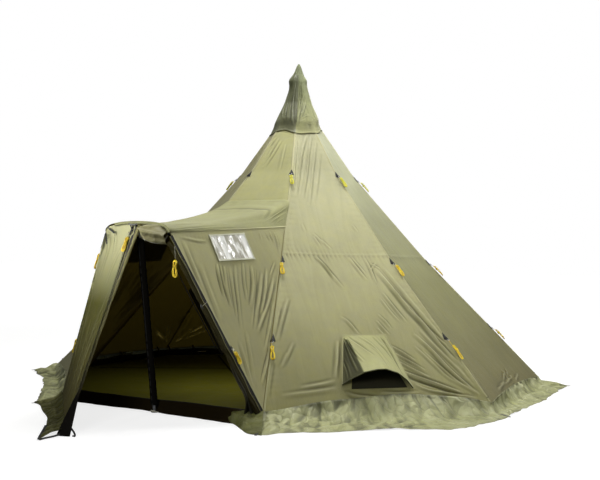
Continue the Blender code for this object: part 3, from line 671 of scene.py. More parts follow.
# Cloth colours run from low to high up the tent: the cloth's own olive with painted shade, darker towards the bottom
# and paler near the top; on the door leaf the fall from a pale top to a dark olive foot is painted shade.
MAT["front"] = cloth("cloth_front", srgb(123, 120, 73), srgb(186, 184, 146), 0.0, 2.6, mid=(0.5, srgb(172, 169, 126)), rough=0.58, spec=0.22, sheen=0.05, streak=0.010, through=0.16)
MAT["right"] = cloth("cloth_right", srgb(116, 110, 72), srgb(184, 186, 154), 0.0, 2.7, mid=(0.42, srgb(140, 139, 94)), rough=0.58, spec=0.3, sheen=0.06, streak=0.010, through=0.16)
MAT["top"] = cloth("cloth_top", srgb(180, 178, 124), srgb(188, 186, 134), 1.7, 3.2, through=0.16)
MAT["back"] = cloth("cloth_back", srgb(118, 116, 76), srgb(172, 168, 128), 0.0, 2.6, through=0.30, streak=0.010)
MAT["roof"] = cloth("cloth_roof", srgb(146, 146, 102), srgb(158, 158, 110), 1.5, 2.1, through=0.16)
MAT["porch"] = cloth("cloth_porch", srgb(140, 136, 94), srgb(162, 159, 114), 0.0, 1.6, through=0.16)
MAT["door"] = cloth("cloth_door", srgb(76, 71, 34), srgb(180, 178, 136), 0.1, 1.62, mid=(0.56, srgb(76, 75, 32)), through=0.06, spec=0.10, sheen=0.02)
MAT["skirt"] = cloth("cloth_skirt", srgb(146, 148, 102), srgb(158, 159, 118), 0.0, 0.15, rough=0.50, sheen=0.06, spec=0.32, crush=0.016, crinkle=0.006,
                     crinkle_scale=9.0, mottle=0.14)
# the left door's skirt: a darker copy of the skirt cloth, painted shade for the tent's shadow on that side
MAT["skirt_left"] = cloth("cloth_skirt_left", srgb(62, 62, 23), srgb(108, 106, 59), 0.0, 0.25, rough=0.62, spec=0.10, sheen=0.02, crush=0.014, crinkle=0.006,
                          crinkle_scale=9.0, mottle=0.16)
MAT["skirt_dark"] = cloth("cloth_skirt_dark", srgb(80, 82, 42), srgb(98, 99, 56), 0.0, 0.2, crush=0.012, rough=0.66, spec=0.10, sheen=0.02, crinkle=0.010,
                          crinkle_scale=10.0, mottle=0.16)
MAT["hood"] = cloth("cloth_hood", srgb(156, 156, 114), srgb(158, 157, 112), 0.2, 0.7, spec=0.10, sheen=0.03)
MAT["under"] = cloth("cloth_under", srgb(96, 96, 50), srgb(96, 96, 50), 0.0, 1.0)
MAT["ground"] = cloth("cloth_ground", srgb(106, 104, 30), srgb(106, 104, 30), 0.0, 0.3, rough=0.7, spec=0.08, sheen=0.0, crinkle=0.006, crinkle_scale=5.0)
MAT["sill"] = cloth("cloth_sill", srgb(34, 27, 13), srgb(30, 24, 11), 0.0, 0.2, rough=0.85, spec=0.03, sheen=0.0, crinkle=0.004, crinkle_scale=8.0)
MAT["ridge"] = cloth("cloth_ridge", srgb(140, 138, 96), srgb(190, 186, 144), 0.0, 2.8, stitch=True)
MAT["flap"] = cloth("cloth_flap", srgb(20, 17, 8), srgb(128, 124, 82), 0.25, 1.55, stitch=True, spec=0.1, sheen=0.0)
MAT["edge_black"] = cloth("cloth_edge_black", (0.010, 0.009, 0.006), (0.014, 0.013, 0.008), 0.0, 1.6, rough=0.8, spec=0.08, sheen=0.0)
MAT["edge"] = cloth("cloth_edge", srgb(84, 82, 46), srgb(96, 94, 54), 0.0, 1.7)
MAT["roll"] = cloth("cloth_roll", srgb(34, 30, 13), srgb(58, 53, 27), 0.0, 1.5, spec=0.06, sheen=0.0, rough=0.6, crinkle=0.006, crinkle_scale=30.0)
MAT["black"] = plain("webbing_black", (0.012, 0.012, 0.011), 0.7, weave=True)
MAT["sleeve"] = cloth("cloth_sleeve", (0.0060, 0.0052, 0.0040), (0.0075, 0.0064, 0.0050), 0.0, 1.6, rough=0.85, sheen=0.0, spec=0.04)
MAT["grey_web"] = plain("webbing_grey", (0.10, 0.10, 0.085), 0.7, weave=True)
MAT["zip"] = plain("zip_tape", (0.015, 0.014, 0.012), 0.55, weave=True)
MAT["piping"] = cloth("cloth_piping", srgb(104, 100, 62), srgb(140, 136, 92), 0.0, 1.6, stitch=True)
MAT["alloy"] = plain("alloy_tube", (0.62, 0.63, 0.64), 0.32, metal=1.0, bump_scale=400, bump=0.0001)
MAT["alloy_dark"] = plain("alloy_cast", (0.30, 0.31, 0.32), 0.45, metal=1.0, bump_scale=300, bump=0.0003)
MAT["steel"] = plain("ring_steel", (0.55, 0.55, 0.56), 0.28, metal=1.0)
MAT["dark_rod"] = plain("rod_black", (0.02, 0.02, 0.022), 0.42, bump_scale=500, bump=0.0001)
MAT["plastic"] = plain("plastic_black", (0.018, 0.018, 0.020), 0.5)
MAT["yellow"] = cord_material("cord_yellow", srgb(232, 208, 30), srgb(214, 132, 12))
MAT["lime"] = cord_material("cord_lime", srgb(226, 222, 60), srgb(206, 186, 40))
MAT["grey_cord"] = cord_material("cord_grey", srgb(150, 148, 130), srgb(96, 92, 74))

# inner faces: the cloth's own inner side, made darker than the outside as painted shade for the dim inside of the tent
MAT["inside"] = cloth("cloth_inside", srgb(82, 74, 38), srgb(84, 76, 39), 0.0, 3.0, rough=0.8, sheen=0.0, spec=0.1, through=0.45,
                      glow=(0.60, 0.46, 0.12))
MAT["skirt_under"] = cloth("cloth_skirt_under", srgb(104, 108, 66), srgb(112, 116, 74), 0.0, 0.3)
MAT["binding"] = plain("binding_dark", (0.055, 0.055, 0.032), 0.75, weave=True)
MAT["border"] = plain("window_border", srgb(190, 190, 166), 0.7, weave=True)
MAT["tag"] = plain("tab_pale", srgb(200, 198, 180), 0.7, weave=True)
MAT["bunch"] = cloth("cloth_bunch", srgb(92, 88, 54), srgb(126, 122, 84), 1.45, 1.62, rough=0.6, crinkle=0.004, crinkle_scale=26.0)
MAT["rim"] = cloth("cloth_rim", srgb(52, 50, 14), srgb(60, 58, 18), 0.0, 0.12, rough=0.85, spec=0.02, sheen=0.0)
# near-black cloth; on the hood's lining and the right leaf's fan it is painted shade
MAT["dark"] = cloth("cloth_dark", (0.020, 0.019, 0.011), (0.024, 0.022, 0.012), 0.0, 0.8, rough=0.85, sheen=0.0, spec=0.04)
MAT["hood_dark"] = cloth("cloth_hood_lip", srgb(60, 60, 34), srgb(70, 70, 40), 0.0, 0.8)
MAT["cap_green"] = cloth("cloth_cap_green", srgb(150, 150, 104), srgb(124, 132, 94), 2.85, 3.6, rough=0.55, mottle=0.14)
MAT["cap_grey"] = cloth("cloth_cap_grey", srgb(112, 113, 84), srgb(100, 104, 74), 2.85, 3.5, rough=0.36, spec=0.6, sheen=0.0, mottle=0.2)


def film_material():
    """Clear window film seen against the dark: grey, with diagonal streaks of painted reflection on its buckles, and
    fine scratches.
    """
    N = Nodes("window_film")
    tc = N.n("ShaderNodeTexCoord")
    uv, obj = tc.outputs["UV"], tc.outputs["Object"]
    mp = N.n("ShaderNodeMapping")
    N.link(uv, mp.inputs["Vector"])
    mp.inputs["Rotation"].default_value = (0, 0, math.radians(-62))
    mp.inputs["Scale"].default_value = (1.0, 0.22, 1.0)
    streak = N.noise(mp.outputs["Vector"], 7.0, 5.0, 0.60, 0.6)
    fine = N.noise(mp.outputs["Vector"], 34.0, 4.0, 0.65, 0.5)
    m = N.math("ADD", streak, N.math("MULTIPLY", fine, 0.35))
    # painted reflection: pale streaks mixed into the base colour
    painted_glare = N.remap(m, 0.64, 0.76, 0.0, 1.0, kind="SMOOTHSTEP")
    base = N.mix(painted_glare, srgb(166, 163, 147), srgb(246, 246, 240))
    base = N.mix(N.remap(N.noise(uv, 5.0, 2.0), 0.4, 0.7, 0.0, 0.5), base, srgb(150, 149, 138))
    N.set(Base_Color=base, Roughness=N.remap(fine, 0.3, 0.7, 0.10, 0.22), Normal=N.bump(m, 0.004, 0.5))
    N.bsdf.inputs["Specular IOR Level"].default_value = 0.6
    N.bsdf.inputs["Coat Weight"].default_value = 0.6
    N.bsdf.inputs["Coat Roughness"].default_value = 0.08
    return N.m


MAT["film"] = film_material()

# ---------------------------------------------------------------- the cone's surface
_pr = [(r * COS, z) for r, z in PROFILE]
_arc = [0.0]
for (a0, z0), (a1, z1) in zip(_pr, _pr[1:]):
    _arc.append(_arc[-1] + math.hypot(a1 - a0, z1 - z0))
_s = np.linspace(-0.3, _arc[-1] + 0.3, 2400)


def _extend(vals):
    v = np.interp(_s, _arc, vals)
    k0 = (vals[1] - vals[0]) / (_arc[1] - _arc[0])
    k1 = (vals[-1] - vals[-2]) / (_arc[-1] - _arc[-2])
    v = np.where(_s < 0, vals[0] + k0 * _s, v)
    v = np.where(_s > _arc[-1], vals[-1] + k1 * (_s - _arc[-1]), v)
    w = int(0.09 / (_s[1] - _s[0]))
    ker = np.hanning(2 * w + 1)
    ker /= ker.sum()
    pad = np.concatenate([v[0] - (v[1] - v[0]) * np.arange(w, 0, -1), v, v[-1] + (v[-1] - v[-2]) * np.arange(1, w + 1)])
    return np.convolve(pad, ker, mode="valid")


_apo, _zed = _extend([p[0] for p in _pr]), _extend([p[1] for p in _pr])


def apo(V):
    return np.interp(V, _s, _apo)


def zed(V):
    return np.interp(V, _s, _zed)


def v_at_z(z):
    return float(np.interp(z, _zed, _s))


V_SEAM = _arc[2] + 0.045
V_TOP = v_at_z(3.160)
V_ROOF = v_at_z(ROOF_Z)


def cone_point(az, U, V, n=0.0):
    """Point on the side at azimuth az: U along the hem, V up the slope, n outward."""
    a, z = apo(V), zed(V)
    e = 0.01
    da, dz = (apo(V + e) - apo(V - e)) / (2 * e), (zed(V + e) - zed(V - e)) / (2 * e)
    L = np.hypot(da, dz)
    ny, nz = -dz / L, -da / L        # outward normal in the (y, z) plane of the porch side
    P = np.stack([U + 0 * a, -(a) + n * ny, z + n * nz], axis=-1)
    return rotz(P, az)


def ridge_point(az, V, out=0.0, side=0.0):
    """Point on a ridge line; out is radial, side is along the tangent."""
    r = apo(V) / COS
    z = zed(V)
    t = math.radians(az)
    rad = np.array([math.sin(t), -math.cos(t), 0.0])
    tan = np.array([math.cos(t), math.sin(t), 0.0])
    e = 0.01
    dr, dz = (apo(V + e) - apo(V - e)) / COS, zed(V + e) - zed(V - e)
    L = math.hypot(float(dr), float(dz)) if np.ndim(dr) == 0 else np.hypot(dr, dz)
    nr, nz = dz / L, -dr / L
    return (np.multiply.outer(r + out * nr, rad) + np.multiply.outer(z + out * nz, np.array([0, 0, 1.0]))
            + np.multiply.outer(side + 0 * r, tan))


STROKES_2 = [
    ([(0.013, 3.541), (-0.07, 3.328), (-0.182, 2.929), (-0.276, 2.609)], 0.022, 0.010),
    ([(0.067, 3.546), (-0.008, 3.275), (-0.08, 2.983), (-0.203, 2.584)], 0.020, 0.010),
    ([(0.112, 3.49), (0.033, 3.163), (-0.088, 2.709), (-0.155, 2.486)], 0.020, 0.007),
    ([(-0.108, 3.531), (-0.192, 3.146), (-0.293, 2.696)], 0.020, 0.008),
    ([(0.13, 3.315), (0.04, 2.945), (-0.073, 2.563)], 0.022, 0.005),
    ([(-0.283, 2.228), (-0.264, 2.103)], 0.018, 0.003), ([(-0.19, 2.106), (-0.094, 1.965)], 0.018, 0.004),
    ([(-0.19, 2.065), (-0.139, 1.92)], 0.016, 0.004), ([(-0.117, 2.028), (-0.028, 1.886)], 0.016, 0.004),
    ([(0.272, 2.236), (0.314, 2.126)], 0.018, 0.003),
    ([(-0.235, 1.80), (-0.18, 1.72), (-0.104, 1.558), (-0.027, 1.381)], 0.020, 0.007),
    ([(-0.21, 1.787), (-0.137, 1.641), (-0.086, 1.457)], 0.018, 0.006),
    ([(0.129, 1.80), (0.172, 1.688), (0.25, 1.484)], 0.020, 0.007),
    ([(0.167, 1.79), (0.221, 1.662), (0.261, 1.569)], 0.015, 0.005),
    ([(0.304, 1.78), (0.326, 1.651), (0.338, 1.444)], 0.018, 0.007),
    ([(0.352, 1.706), (0.433, 1.64)], 0.016, 0.006), ([(0.315, 1.61), (0.412, 1.722)], 0.014, 0.005),
    ([(0.368, 1.671), (0.487, 1.387), (0.575, 1.131), (0.692, 0.885), (0.801, 0.628), (0.933, 0.411)], 0.030, 0.016),
    ([(0.412, 1.722), (0.531, 1.414), (0.633, 1.143), (0.755, 0.858), (0.86, 0.607), (0.983, 0.309)], 0.034, -0.010),
    ([(0.371, 1.326), (0.444, 1.13), (0.518, 0.945)], 0.018, 0.008),
    ([(0.325, 1.256), (0.39, 1.08), (0.448, 0.957)], 0.016, 0.006),
    ([(0.246, 1.055), (0.309, 0.945), (0.334, 0.868)], 0.016, 0.007),
    ([(0.209, 0.982), (0.251, 0.886), (0.297, 0.796)], 0.016, 0.007),
    ([(0.195, 0.886), (0.237, 0.803)], 0.014, 0.006),
    ([(-0.148, 1.031), (-0.068, 0.947), (-0.021, 0.817)], 0.020, 0.004),
    ([(-0.103, 1.007), (-0.05, 0.9), (0.003, 0.793)], 0.018, 0.004),
    ([(0.543, 0.814), (0.668, 0.618), (0.779, 0.394), (0.889, 0.224), (0.987, 0.101)], 0.026, 0.013),
    ([(0.592, 0.847), (0.718, 0.621), (0.84, 0.402), (0.954, 0.178)], 0.026, -0.007),
    ([(0.568, 0.619), (0.681, 0.443), (0.816, 0.254), (0.954, 0.124)], 0.022, 0.010),
    ([(0.506, 0.671), (0.614, 0.497), (0.727, 0.316), (0.84, 0.203)], 0.020, 0.008),
    ([(0.248, 0.688), (0.374, 0.591), (0.47, 0.495)], 0.018, 0.009),
    ([(0.252, 0.609), (0.425, 0.479), (0.534, 0.384)], 0.018, 0.010),
    ([(0.225, 0.55), (0.371, 0.436), (0.552, 0.31)], 0.018, 0.009),
    ([(0.198, 0.664), (0.279, 0.527)], 0.016, 0.006),
    ([(0.20, 0.43), (0.286, 0.391), (0.441, 0.311), (0.61, 0.232), (0.797, 0.14)], 0.024, 0.014),
    ([(0.30, 0.341), (0.419, 0.271), (0.612, 0.189), (0.842, 0.096)], 0.022, -0.009),
    ([(0.38, 0.242), (0.494, 0.175), (0.71, 0.123), (0.945, 0.071)], 0.020, 0.009),
    ([(0.456, 1.405), (0.597, 1.174), (0.683, 0.932), (0.807, 0.729), (0.901, 0.514), (0.995, 0.231), (1.062, 0.056)], 0.024, 0.009),
    ([(0.922, 0.724), (0.978, 0.467), (1.028, 0.208), (1.062, 0.056)], 0.020, 0.008),
    ([(-0.617, 1.239), (-0.71, 1.02), (-0.821, 0.74)], 0.024, 0.010),
    ([(-0.667, 0.722), (-0.747, 0.58), (-0.817, 0.458)], 0.020, 0.007),
    ([(-0.75, 0.613), (-0.837, 0.444)], 0.018, 0.006),
    ([(-0.907, 0.509), (-0.967, 0.323), (-1.02, 0.144)], 0.024, 0.009),
    ([(-0.72, 1.139), (-0.80, 0.904), (-0.85, 0.769)], 0.018, 0.006),
    ([(-0.707, 0.233), (-0.499, 0.268), (-0.36, 0.303)], 0.030, 0.006),
    ([(-0.899, 0.16), (-0.626, 0.19), (-0.37, 0.221)], 0.030, 0.005),
    ([(-0.24, 0.738), (-0.30, 0.516), (-0.36, 0.324)], 0.024, 0.010),
    ([(-0.308, 0.179), (-0.18, 0.133), (0.048, 0.104)], 0.026, 0.008),
    ([(0.019, 0.167), (0.206, 0.15), (0.402, 0.154)], 0.024, 0.007),
]
STROKES_3 = [
    ([(-0.50, 1.892), (-0.46, 1.794)], 0.014, 0.005), ([(-0.44, 1.814), (-0.40, 1.715)], 0.014, 0.005),
    ([(-0.47, 1.733), (-0.42, 1.594)], 0.014, 0.005), ([(-0.36, 1.961), (-0.33, 1.875)], 0.014, 0.004),
    ([(-0.205, 0.149), (0.029, 0.231)], 0.018, 0.008), ([(-0.264, 0.107), (0.157, 0.147)], 0.018, 0.009),
    ([(0.009, 0.156), (0.156, 0.254)], 0.016, 0.007), ([(0.152, 0.096), (0.425, 0.143)], 0.020, 0.008),
    ([(-0.608, 0.087), (-0.213, 0.133)], 0.020, 0.009), ([(-1.045, 0.065), (-0.998, 0.195), (-0.916, 0.37)], 0.020, 0.009),
    ([(-0.06, 0.10), (-0.01, 0.26)], 0.020, 0.008), ([(0.06, 0.09), (0.10, 0.22)], 0.018, 0.007),
    ([(-0.90, 0.9), (-0.80, 1.2), (-0.72, 1.5)], 0.030, 0.004),
]
VENT = dict(u=0.030, v0=0.200, v1=0.792, top=0.213, lip=0.346, stand=0.190)


def side_strokes(seed):
    """Quiet folds for the sides that the photograph doesn't show: from the guy rings and the hem corners."""
    r = np.random.default_rng(seed)
    out = []
    for s in (-1, 1):
        for k in range(5):
            u0, v0 = s * (1.06 - 0.03 * k), 0.05 + 0.03 * k
            ang = math.radians(100 + 12 * k + r.uniform(-4, 4))
            L = r.uniform(0.35, 0.8)
            p1 = (u0 + s * math.cos(ang) * L * 1.0, v0 + math.sin(ang) * L)
            mid = ((u0 + p1[0]) / 2 - s * 0.015, (v0 + p1[1]) / 2)
            out.append(([(u0, v0), mid, p1], 0.020 + 0.006 * r.random(), 0.006 + 0.004 * r.random()))
        for k in range(4):
            u0 = s * r.uniform(0.30, 0.48)
            v0 = r.uniform(1.55, 1.72)
            out.append(([(u0, v0), (u0 + s * 0.05, v0 - 0.15), (u0 + s * 0.12, v0 - 0.32)], 0.018, 0.005))
    for k in range(6):
        u0 = r.uniform(-0.10, 0.10)
        out.append(([(u0, 3.5), (u0 * 2, 3.1), (u0 * 2.8, 2.6)], 0.020, 0.006))
    return out


def hem_v(k, f):
    """How far up the slope the hem hangs between the corners."""
    if k == 2:
        return 0.118 * (1 - f * f) * (1 + 0.38 * f) + 0.006 * np.sin(9 * f)
    if k == 3:
        return 0.050 * (1 - f * f)
    return 0.045 * (1 - f * f)


def panel(k, nu, nv, mat, strokes, seed, v_low=None, name=None):
    az = 45 * (k - 1)
    f = np.linspace(-1, 1, nu)[None, :]
    t = np.linspace(0, 1, nv)[:, None]
    vb = hem_v(k, f) if v_low is None else v_low + 0 * f
    V = vb + (V_TOP - vb) * t
    half = apo(V) * TAN - 0.0012
    U = f * half
    edge = np.clip((half - np.abs(U)) / 0.05, 0, 1)
    edge = smooth01(edge)
    D = -0.012 * (1 - f ** 2) * np.clip(np.sin(np.pi * np.clip(V / V_TOP, 0, 1)), 0, 1) ** 0.6
    D = D + 0.0045 * fbm(U * 1.6, V * 1.0, seed, 3) * edge
    D = D + 0.0016 * fbm(U * 7.0 + 2, V * 3.0, seed + 9, 3) * edge
    if v_low is None:
        # horizontal seam with a lap and puckers
        q = (V - V_SEAM) / 0.010
        D = D + 0.0030 * np.exp(-q * q) + 0.0014 * smooth01((V - V_SEAM) / 0.02 + 0.5)
        pk = np.sin(U * 2 * np.pi / 0.047 + 3 * fbm(U * 8, V * 0 + 1.3, seed + 3, 2) + (V - V_SEAM) * 22)
        env = np.exp(-np.abs(V - V_SEAM + 0.02) / 0.05) * (0.35 + 0.65 * smooth01((0.1 - U) / 0.3))
        D = D + 0.0032 * pk * env * edge
    D = D + 0.0045 * facets(U * 2.1 + 0.3 * V, V * 0.55, seed + 51) * edge + folds(U, V, strokes, 1.45) * edge
    # small puckers along the ridge seams
    rp = np.sin(V * 2 * np.pi / 0.085 + 4 * fbm(V * 5, f * 0 + seed, seed + 5, 2))
    D = D + 0.0012 * rp * np.exp(-(half - np.abs(U)) / 0.05) * edge
    P = cone_point(az, U, V, D)
    if k == 2:
        mu = np.abs(U - VENT["u"])
        hole_v0, hole_v1 = 0.215, 0.405
        Vc, Uc = (V[:-1, :-1] + V[1:, 1:]) / 2, (U[:-1, :-1] + U[1:, 1:]) / 2
        w = 0.262 + (0.205 - 0.262) * (Vc - hole_v0) / (hole_v1 - hole_v0)
        mask = ~((Vc > hole_v0) & (Vc < hole_v1) & (np.abs(Uc - VENT["u"]) < w))
    else:
        mask = None
    uv = np.stack([U, V], -1)
    # painted shade in the creases, painted highlight on the crests and a painted dark band of shade along the hem
    ob = sheet_from(name or "panel_cloth_%d" % k, P, mat, uv, mask, inner=MAT["inside"], out=cone_point(az, U, V, 1.0 + 0 * U) - cone_point(az, U, V, 0 * U),
                    painted_shading=crease(D, 3 if k in (1, 2, 3) else 1, 0.0055) + 0.5 * np.exp(-(V - vb) / 0.012))
    flat_P = cone_point(az, U, V, 0 * U)
    ar = area_of(flat_P) if mask is None else mask_area(flat_P, mask)
    wide = float(2 * half.max())
    return ob, (wide, float(V_TOP - vb.min())), ar


for k, (nu, nv, mat, st, seed) in {
    2: (250, 460, MAT["front"], STROKES_2, 11),
    3: (120, 240, MAT["right"], STROKES_3, 23),
    4: (70, 140, MAT["back"], side_strokes(4), 31),
    5: (70, 140, MAT["back"], side_strokes(5), 37),
    6: (70, 140, MAT["back"], side_strokes(6), 41),
    7: (70, 140, MAT["back"], side_strokes(7), 43),
    8: (90, 180, MAT["back"], side_strokes(8), 47),
}.items():
    ob, flat, ar = panel(k, nu, nv, mat, st, seed)
    cloth_piece(ob, ROOT, ["wall_panel_%d" % k], flat, ar)
TOP_STROKES = [([(-0.02, 3.45), (-0.06, 3.25), (-0.12, 3.05)], 0.020, 0.006), ([(-0.06, 3.48), (-0.12, 3.2)], 0.018, 0.005),
               ([(-0.10, 3.50), (-0.17, 3.30)], 0.018, 0.006), ([(0.05, 3.40), (0.09, 3.0)], 0.020, 0.004)]
ob, flat, ar = panel(1, 70, 120, MAT["top"], TOP_STROKES, 53, v_low=V_ROOF - 0.01, name="panel_cloth_porch_top")
cloth_piece(ob, ROOT, ["wall_porch_top"], flat, ar)


def ridge_strip(az, v0, v1, name):
    """Felled seam with tape along a ridge, lying on both sides' cloth."""
    n = 110
    V = np.linspace(v0, v1, n)
    R = ridge_point(az, V, out=0.0)
    t = math.radians(az)
    dr = rotz(np.array([1.0, 0, 0]), az + 22.5)
    dl = -rotz(np.array([1.0, 0, 0]), az - 22.5)
    up = ridge_point(az, V, out=0.01) - R
    up = unit(up)
    if az in (22.5, 337.5):
        # below the porch roof the seam lies on the porch wall
        low = smooth01((1.60 - R[:, 2]) / 0.06)[:, None]
        if az == 22.5:
            dl = unit(dl * (1 - low) - E1 * low)
        else:
            dr = unit(dr * (1 - low) + (-E1 * np.array([-1.0, 1, 1])) * low)
    cols = []
    for w, h, d in ((0.0125, 0.0006, dl), (0.0095, 0.0026, dl), (0.0, 0.0036, dl), (0.0095, 0.0026, dr), (0.0125, 0.0006, dr)):
        cols.append(R + d * w + up * (h + 0.0006 * np.sin(V * 2 * np.pi / 0.06)[:, None] * (w > 0)))
    P = np.stack(cols, axis=1)
    uv = np.stack([np.broadcast_to(np.array([-0.0125, -0.0095, 0, 0.0095, 0.0125]), (n, 5)), np.broadcast_to(V[:, None], (n, 5))], -1)
    ob = sheet_from(name, P, MAT["ridge"], uv, inner=MAT["inside"], out=np.broadcast_to(up[:, None], P.shape), thick=0.0010)
    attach(ob, ROOT)
    return ob


V_EAVE = v_at_z(SEAM_Z)
for i in range(8):
    az = 22.5 + 45 * i
    ridge_strip(az, 0.0, V_TOP - 0.01, "ridge_seam_%d" % (i + 1))

# ---------------------------------------------------------------- snow skirt
OUTLINE = [(-22.5, 3.11), (-10, 2.95)] + [
    (21.0, 3.05), (22.5, 3.26), (24.0, 3.24), (25.5, 3.16), (28.5, 3.13), (34.5, 3.08), (39.1, 3.055), (43.9, 3.06), (48.2, 3.13),
    (51.2, 3.165), (54.3, 3.14), (58.1, 3.10), (64.2, 3.03), (67.5, 2.98), (69.6, 2.93), (75.7, 2.86), (82.9, 2.825), (90.7, 2.85),
    (97, 2.87), (104.6, 2.95), (110, 3.06), (112.5, 3.13), (115, 3.06),
    (122, 2.93), (135, 2.80), (148, 2.92), (157.5, 3.12), (167, 2.93), (180, 2.79), (193, 2.93), (202.5, 3.12), (212, 2.93),
    (225, 2.80), (238, 2.93), (247.5, 3.12), (257, 2.92), (270, 2.79), (282, 2.92), (290, 3.04), (292.5, 3.10), (296, 3.00),
    (305, 2.80), (315, 2.755), (326, 2.84), (334, 2.99), (337.5, 3.10)]
_oa = np.array([a for a, r in OUTLINE])
_or = np.array([r for a, r in OUTLINE])


def outline_r(az):
    return np.interp(az, _oa, _or)


def crumple(x, y, seed):
    """Flat facets between sharp folds that run in several directions, as in crushed nylon."""
    wx = 0.060 * noise2(x * 3.1, y * 3.1 + 7, seed + 1) + 0.020 * noise2(x * 11, y * 11, seed + 2)
    wy = 0.060 * noise2(x * 3.3 + 4, y * 2.9, seed + 3) + 0.020 * noise2(x * 10 + 9, y * 12, seed + 4)
    a, b = x + wx, y + wy
    return 0.62 * facets(a * 3.1, b * 2.7, seed + 5) + 0.44 * facets(a * 6.5 + b * 3.0, b * 6.0 - a * 2.0, seed + 6) + 0.13 * facets(a * 15, b * 13, seed + 7)


def skirt(k, n=150, m=26, mat=None, seed=0, name=None):
    """Crinkled strip from the hem down and out along the ground."""
    az = 45 * (k - 1)
    f = np.linspace(-1, 1, n)
    half0 = R_HEM * COS * TAN
    vb = hem_v(k, f)
    top = cone_point(az, f * (apo(vb) * TAN - 0.001), vb + 0.010 + 0 * f, 0.003 + 0 * f)
    # outer edge on the ground by azimuth
    a_out = az + np.degrees(np.arctan(f * TAN))
    r_out = outline_r(np.where(a_out > 337.5, 337.5, a_out))
    r_out = r_out * (1 + 0.008 * fbm(a_out * 0.55, a_out * 0, seed, 3) * (1 - np.abs(f) ** 6))
    t = np.radians(a_out)
    outp = np.stack([r_out * np.sin(t), -r_out * np.cos(t), 0 * t + 0.004], -1)
    rad = unit(np.stack([np.sin(t), -np.cos(t), 0 * t], -1))
    s = np.linspace(0, 1, m)[:, None]
    width = np.linalg.norm((outp - top)[:, :2], axis=1)[None, :]
    # drape: falls from the hem, touches down at about a third, then lies flat
    ztop = top[:, 2][None, :]
    zz = ztop * np.clip(1 - s / 0.42, 0, 1) ** 1.6 + 0.004
    xy = top[None, :, :2] + (outp - top)[None, :, :2] * (0.10 * s + 0.90 * s ** 1.15)[:, :, None]
    P = np.concatenate([xy, zz[:, :, None] + 0 * xy[..., :1]], -1)
    along = a_out[None, :] * math.pi / 180 * R_HEM
    wfall = np.sin(np.pi * np.clip(s * 0.92 + 0.08, 0, 1)) ** 0.8
    # radial pleats, warped, stronger at the corners
    corner = 0.55 + 0.9 * np.abs(f[None, :]) ** 3
    calm = (1 - np.abs(f[None, :]) ** 14) * smooth01(s / 0.10)
    ph = along * 2 * np.pi / 0.19 + 3.4 * fbm(along * 1.3, s * 1.1 + seed, seed + 2, 3)
    pleat = 0.5 + 0.5 * np.sin(ph)
    pleat2 = ridged(along * 7.5 + 1.5 * s, s * 1.6 + 0.4 * np.sin(along * 5), seed + 5, 3)
    facet = crumple(along, s * width, seed + 31)
    lift = (0.016 + 0.010 * pleat ** 1.7 + 0.006 * np.clip(pleat2, -0.2, 1) + 0.058 * facet) * wfall * corner * np.minimum(width / 0.25, 1.25) * calm
    hang = (0.010 * (pleat - 0.5) + 0.030 * facet) * np.exp(-((s - 0.14) / 0.14) ** 2) * calm
    P[..., 2] += lift + 0.006 * fbm(along * 5, s * 4, seed + 8, 2) * wfall * calm
    relief = 0.012 * pleat ** 1.7 + 0.045 * facet + 0.008 * pleat2
    # painted shade and light: darker in the creases and paler on the crests, facets darker or paler by their slope as
    # though lit from one side, and a painted dark band of shadow along the hem; the fbm term is random tone
    shade_ = np.clip(crease(relief + 0 * s, 3 if n > 200 else 2, 0.010, 0.7) + 0.35 * fbm(along * 2.3, s * 1.5, seed + 41, 2) - 0.55 * np.clip(np.gradient(facet, axis=1) / np.gradient(along + 0 * s, axis=1) / 5.5, -1, 1)
                     + 0.8 * np.exp(-s / 0.035), -0.9, 1.0)
    P[..., :2] += rad[None, :, :2] * (hang + 0.006 * fbm(along * 6, s * 5 + 3, seed + 12, 2) * wfall * calm)[..., None]
    edge_lift = 0.016 * np.clip(fbm(along * 2.6, along * 0, seed + 21, 3), 0, 1)
    P[..., 2] += edge_lift * s ** 3
    P[..., 2] = np.maximum(P[..., 2], 0.0025)
    uv = np.stack([along + 0 * s, s * width], -1)
    return P, uv, float(width.max()), shade_


for k, mat, seed in ((2, "skirt", 3), (3, "skirt", 5), (4, "skirt", 7), (5, "skirt", 8), (6, "skirt", 9), (7, "skirt", 10), (8, "skirt", 12)):
    P, uv, w, tn = skirt(k, 260 if k in (2, 3) else 130, 40 if k in (2, 3) else 22, seed=seed)
    if k == 8:
        SKIRT_END = P[:, -1].copy()
    # tn is the skirt's painted shade and light
    ob = sheet_from("skirt_cloth_%d" % k, P, MAT[mat], uv, inner=MAT["skirt_under"], out=(0, 0, 1.0), thick=0.0010, painted_shading=tn)
    cloth_piece(ob, ROOT, ["skirt_%d" % k], (2.3, 0.6), min(area_of(P) * 0.97, 2.3 * 0.6))

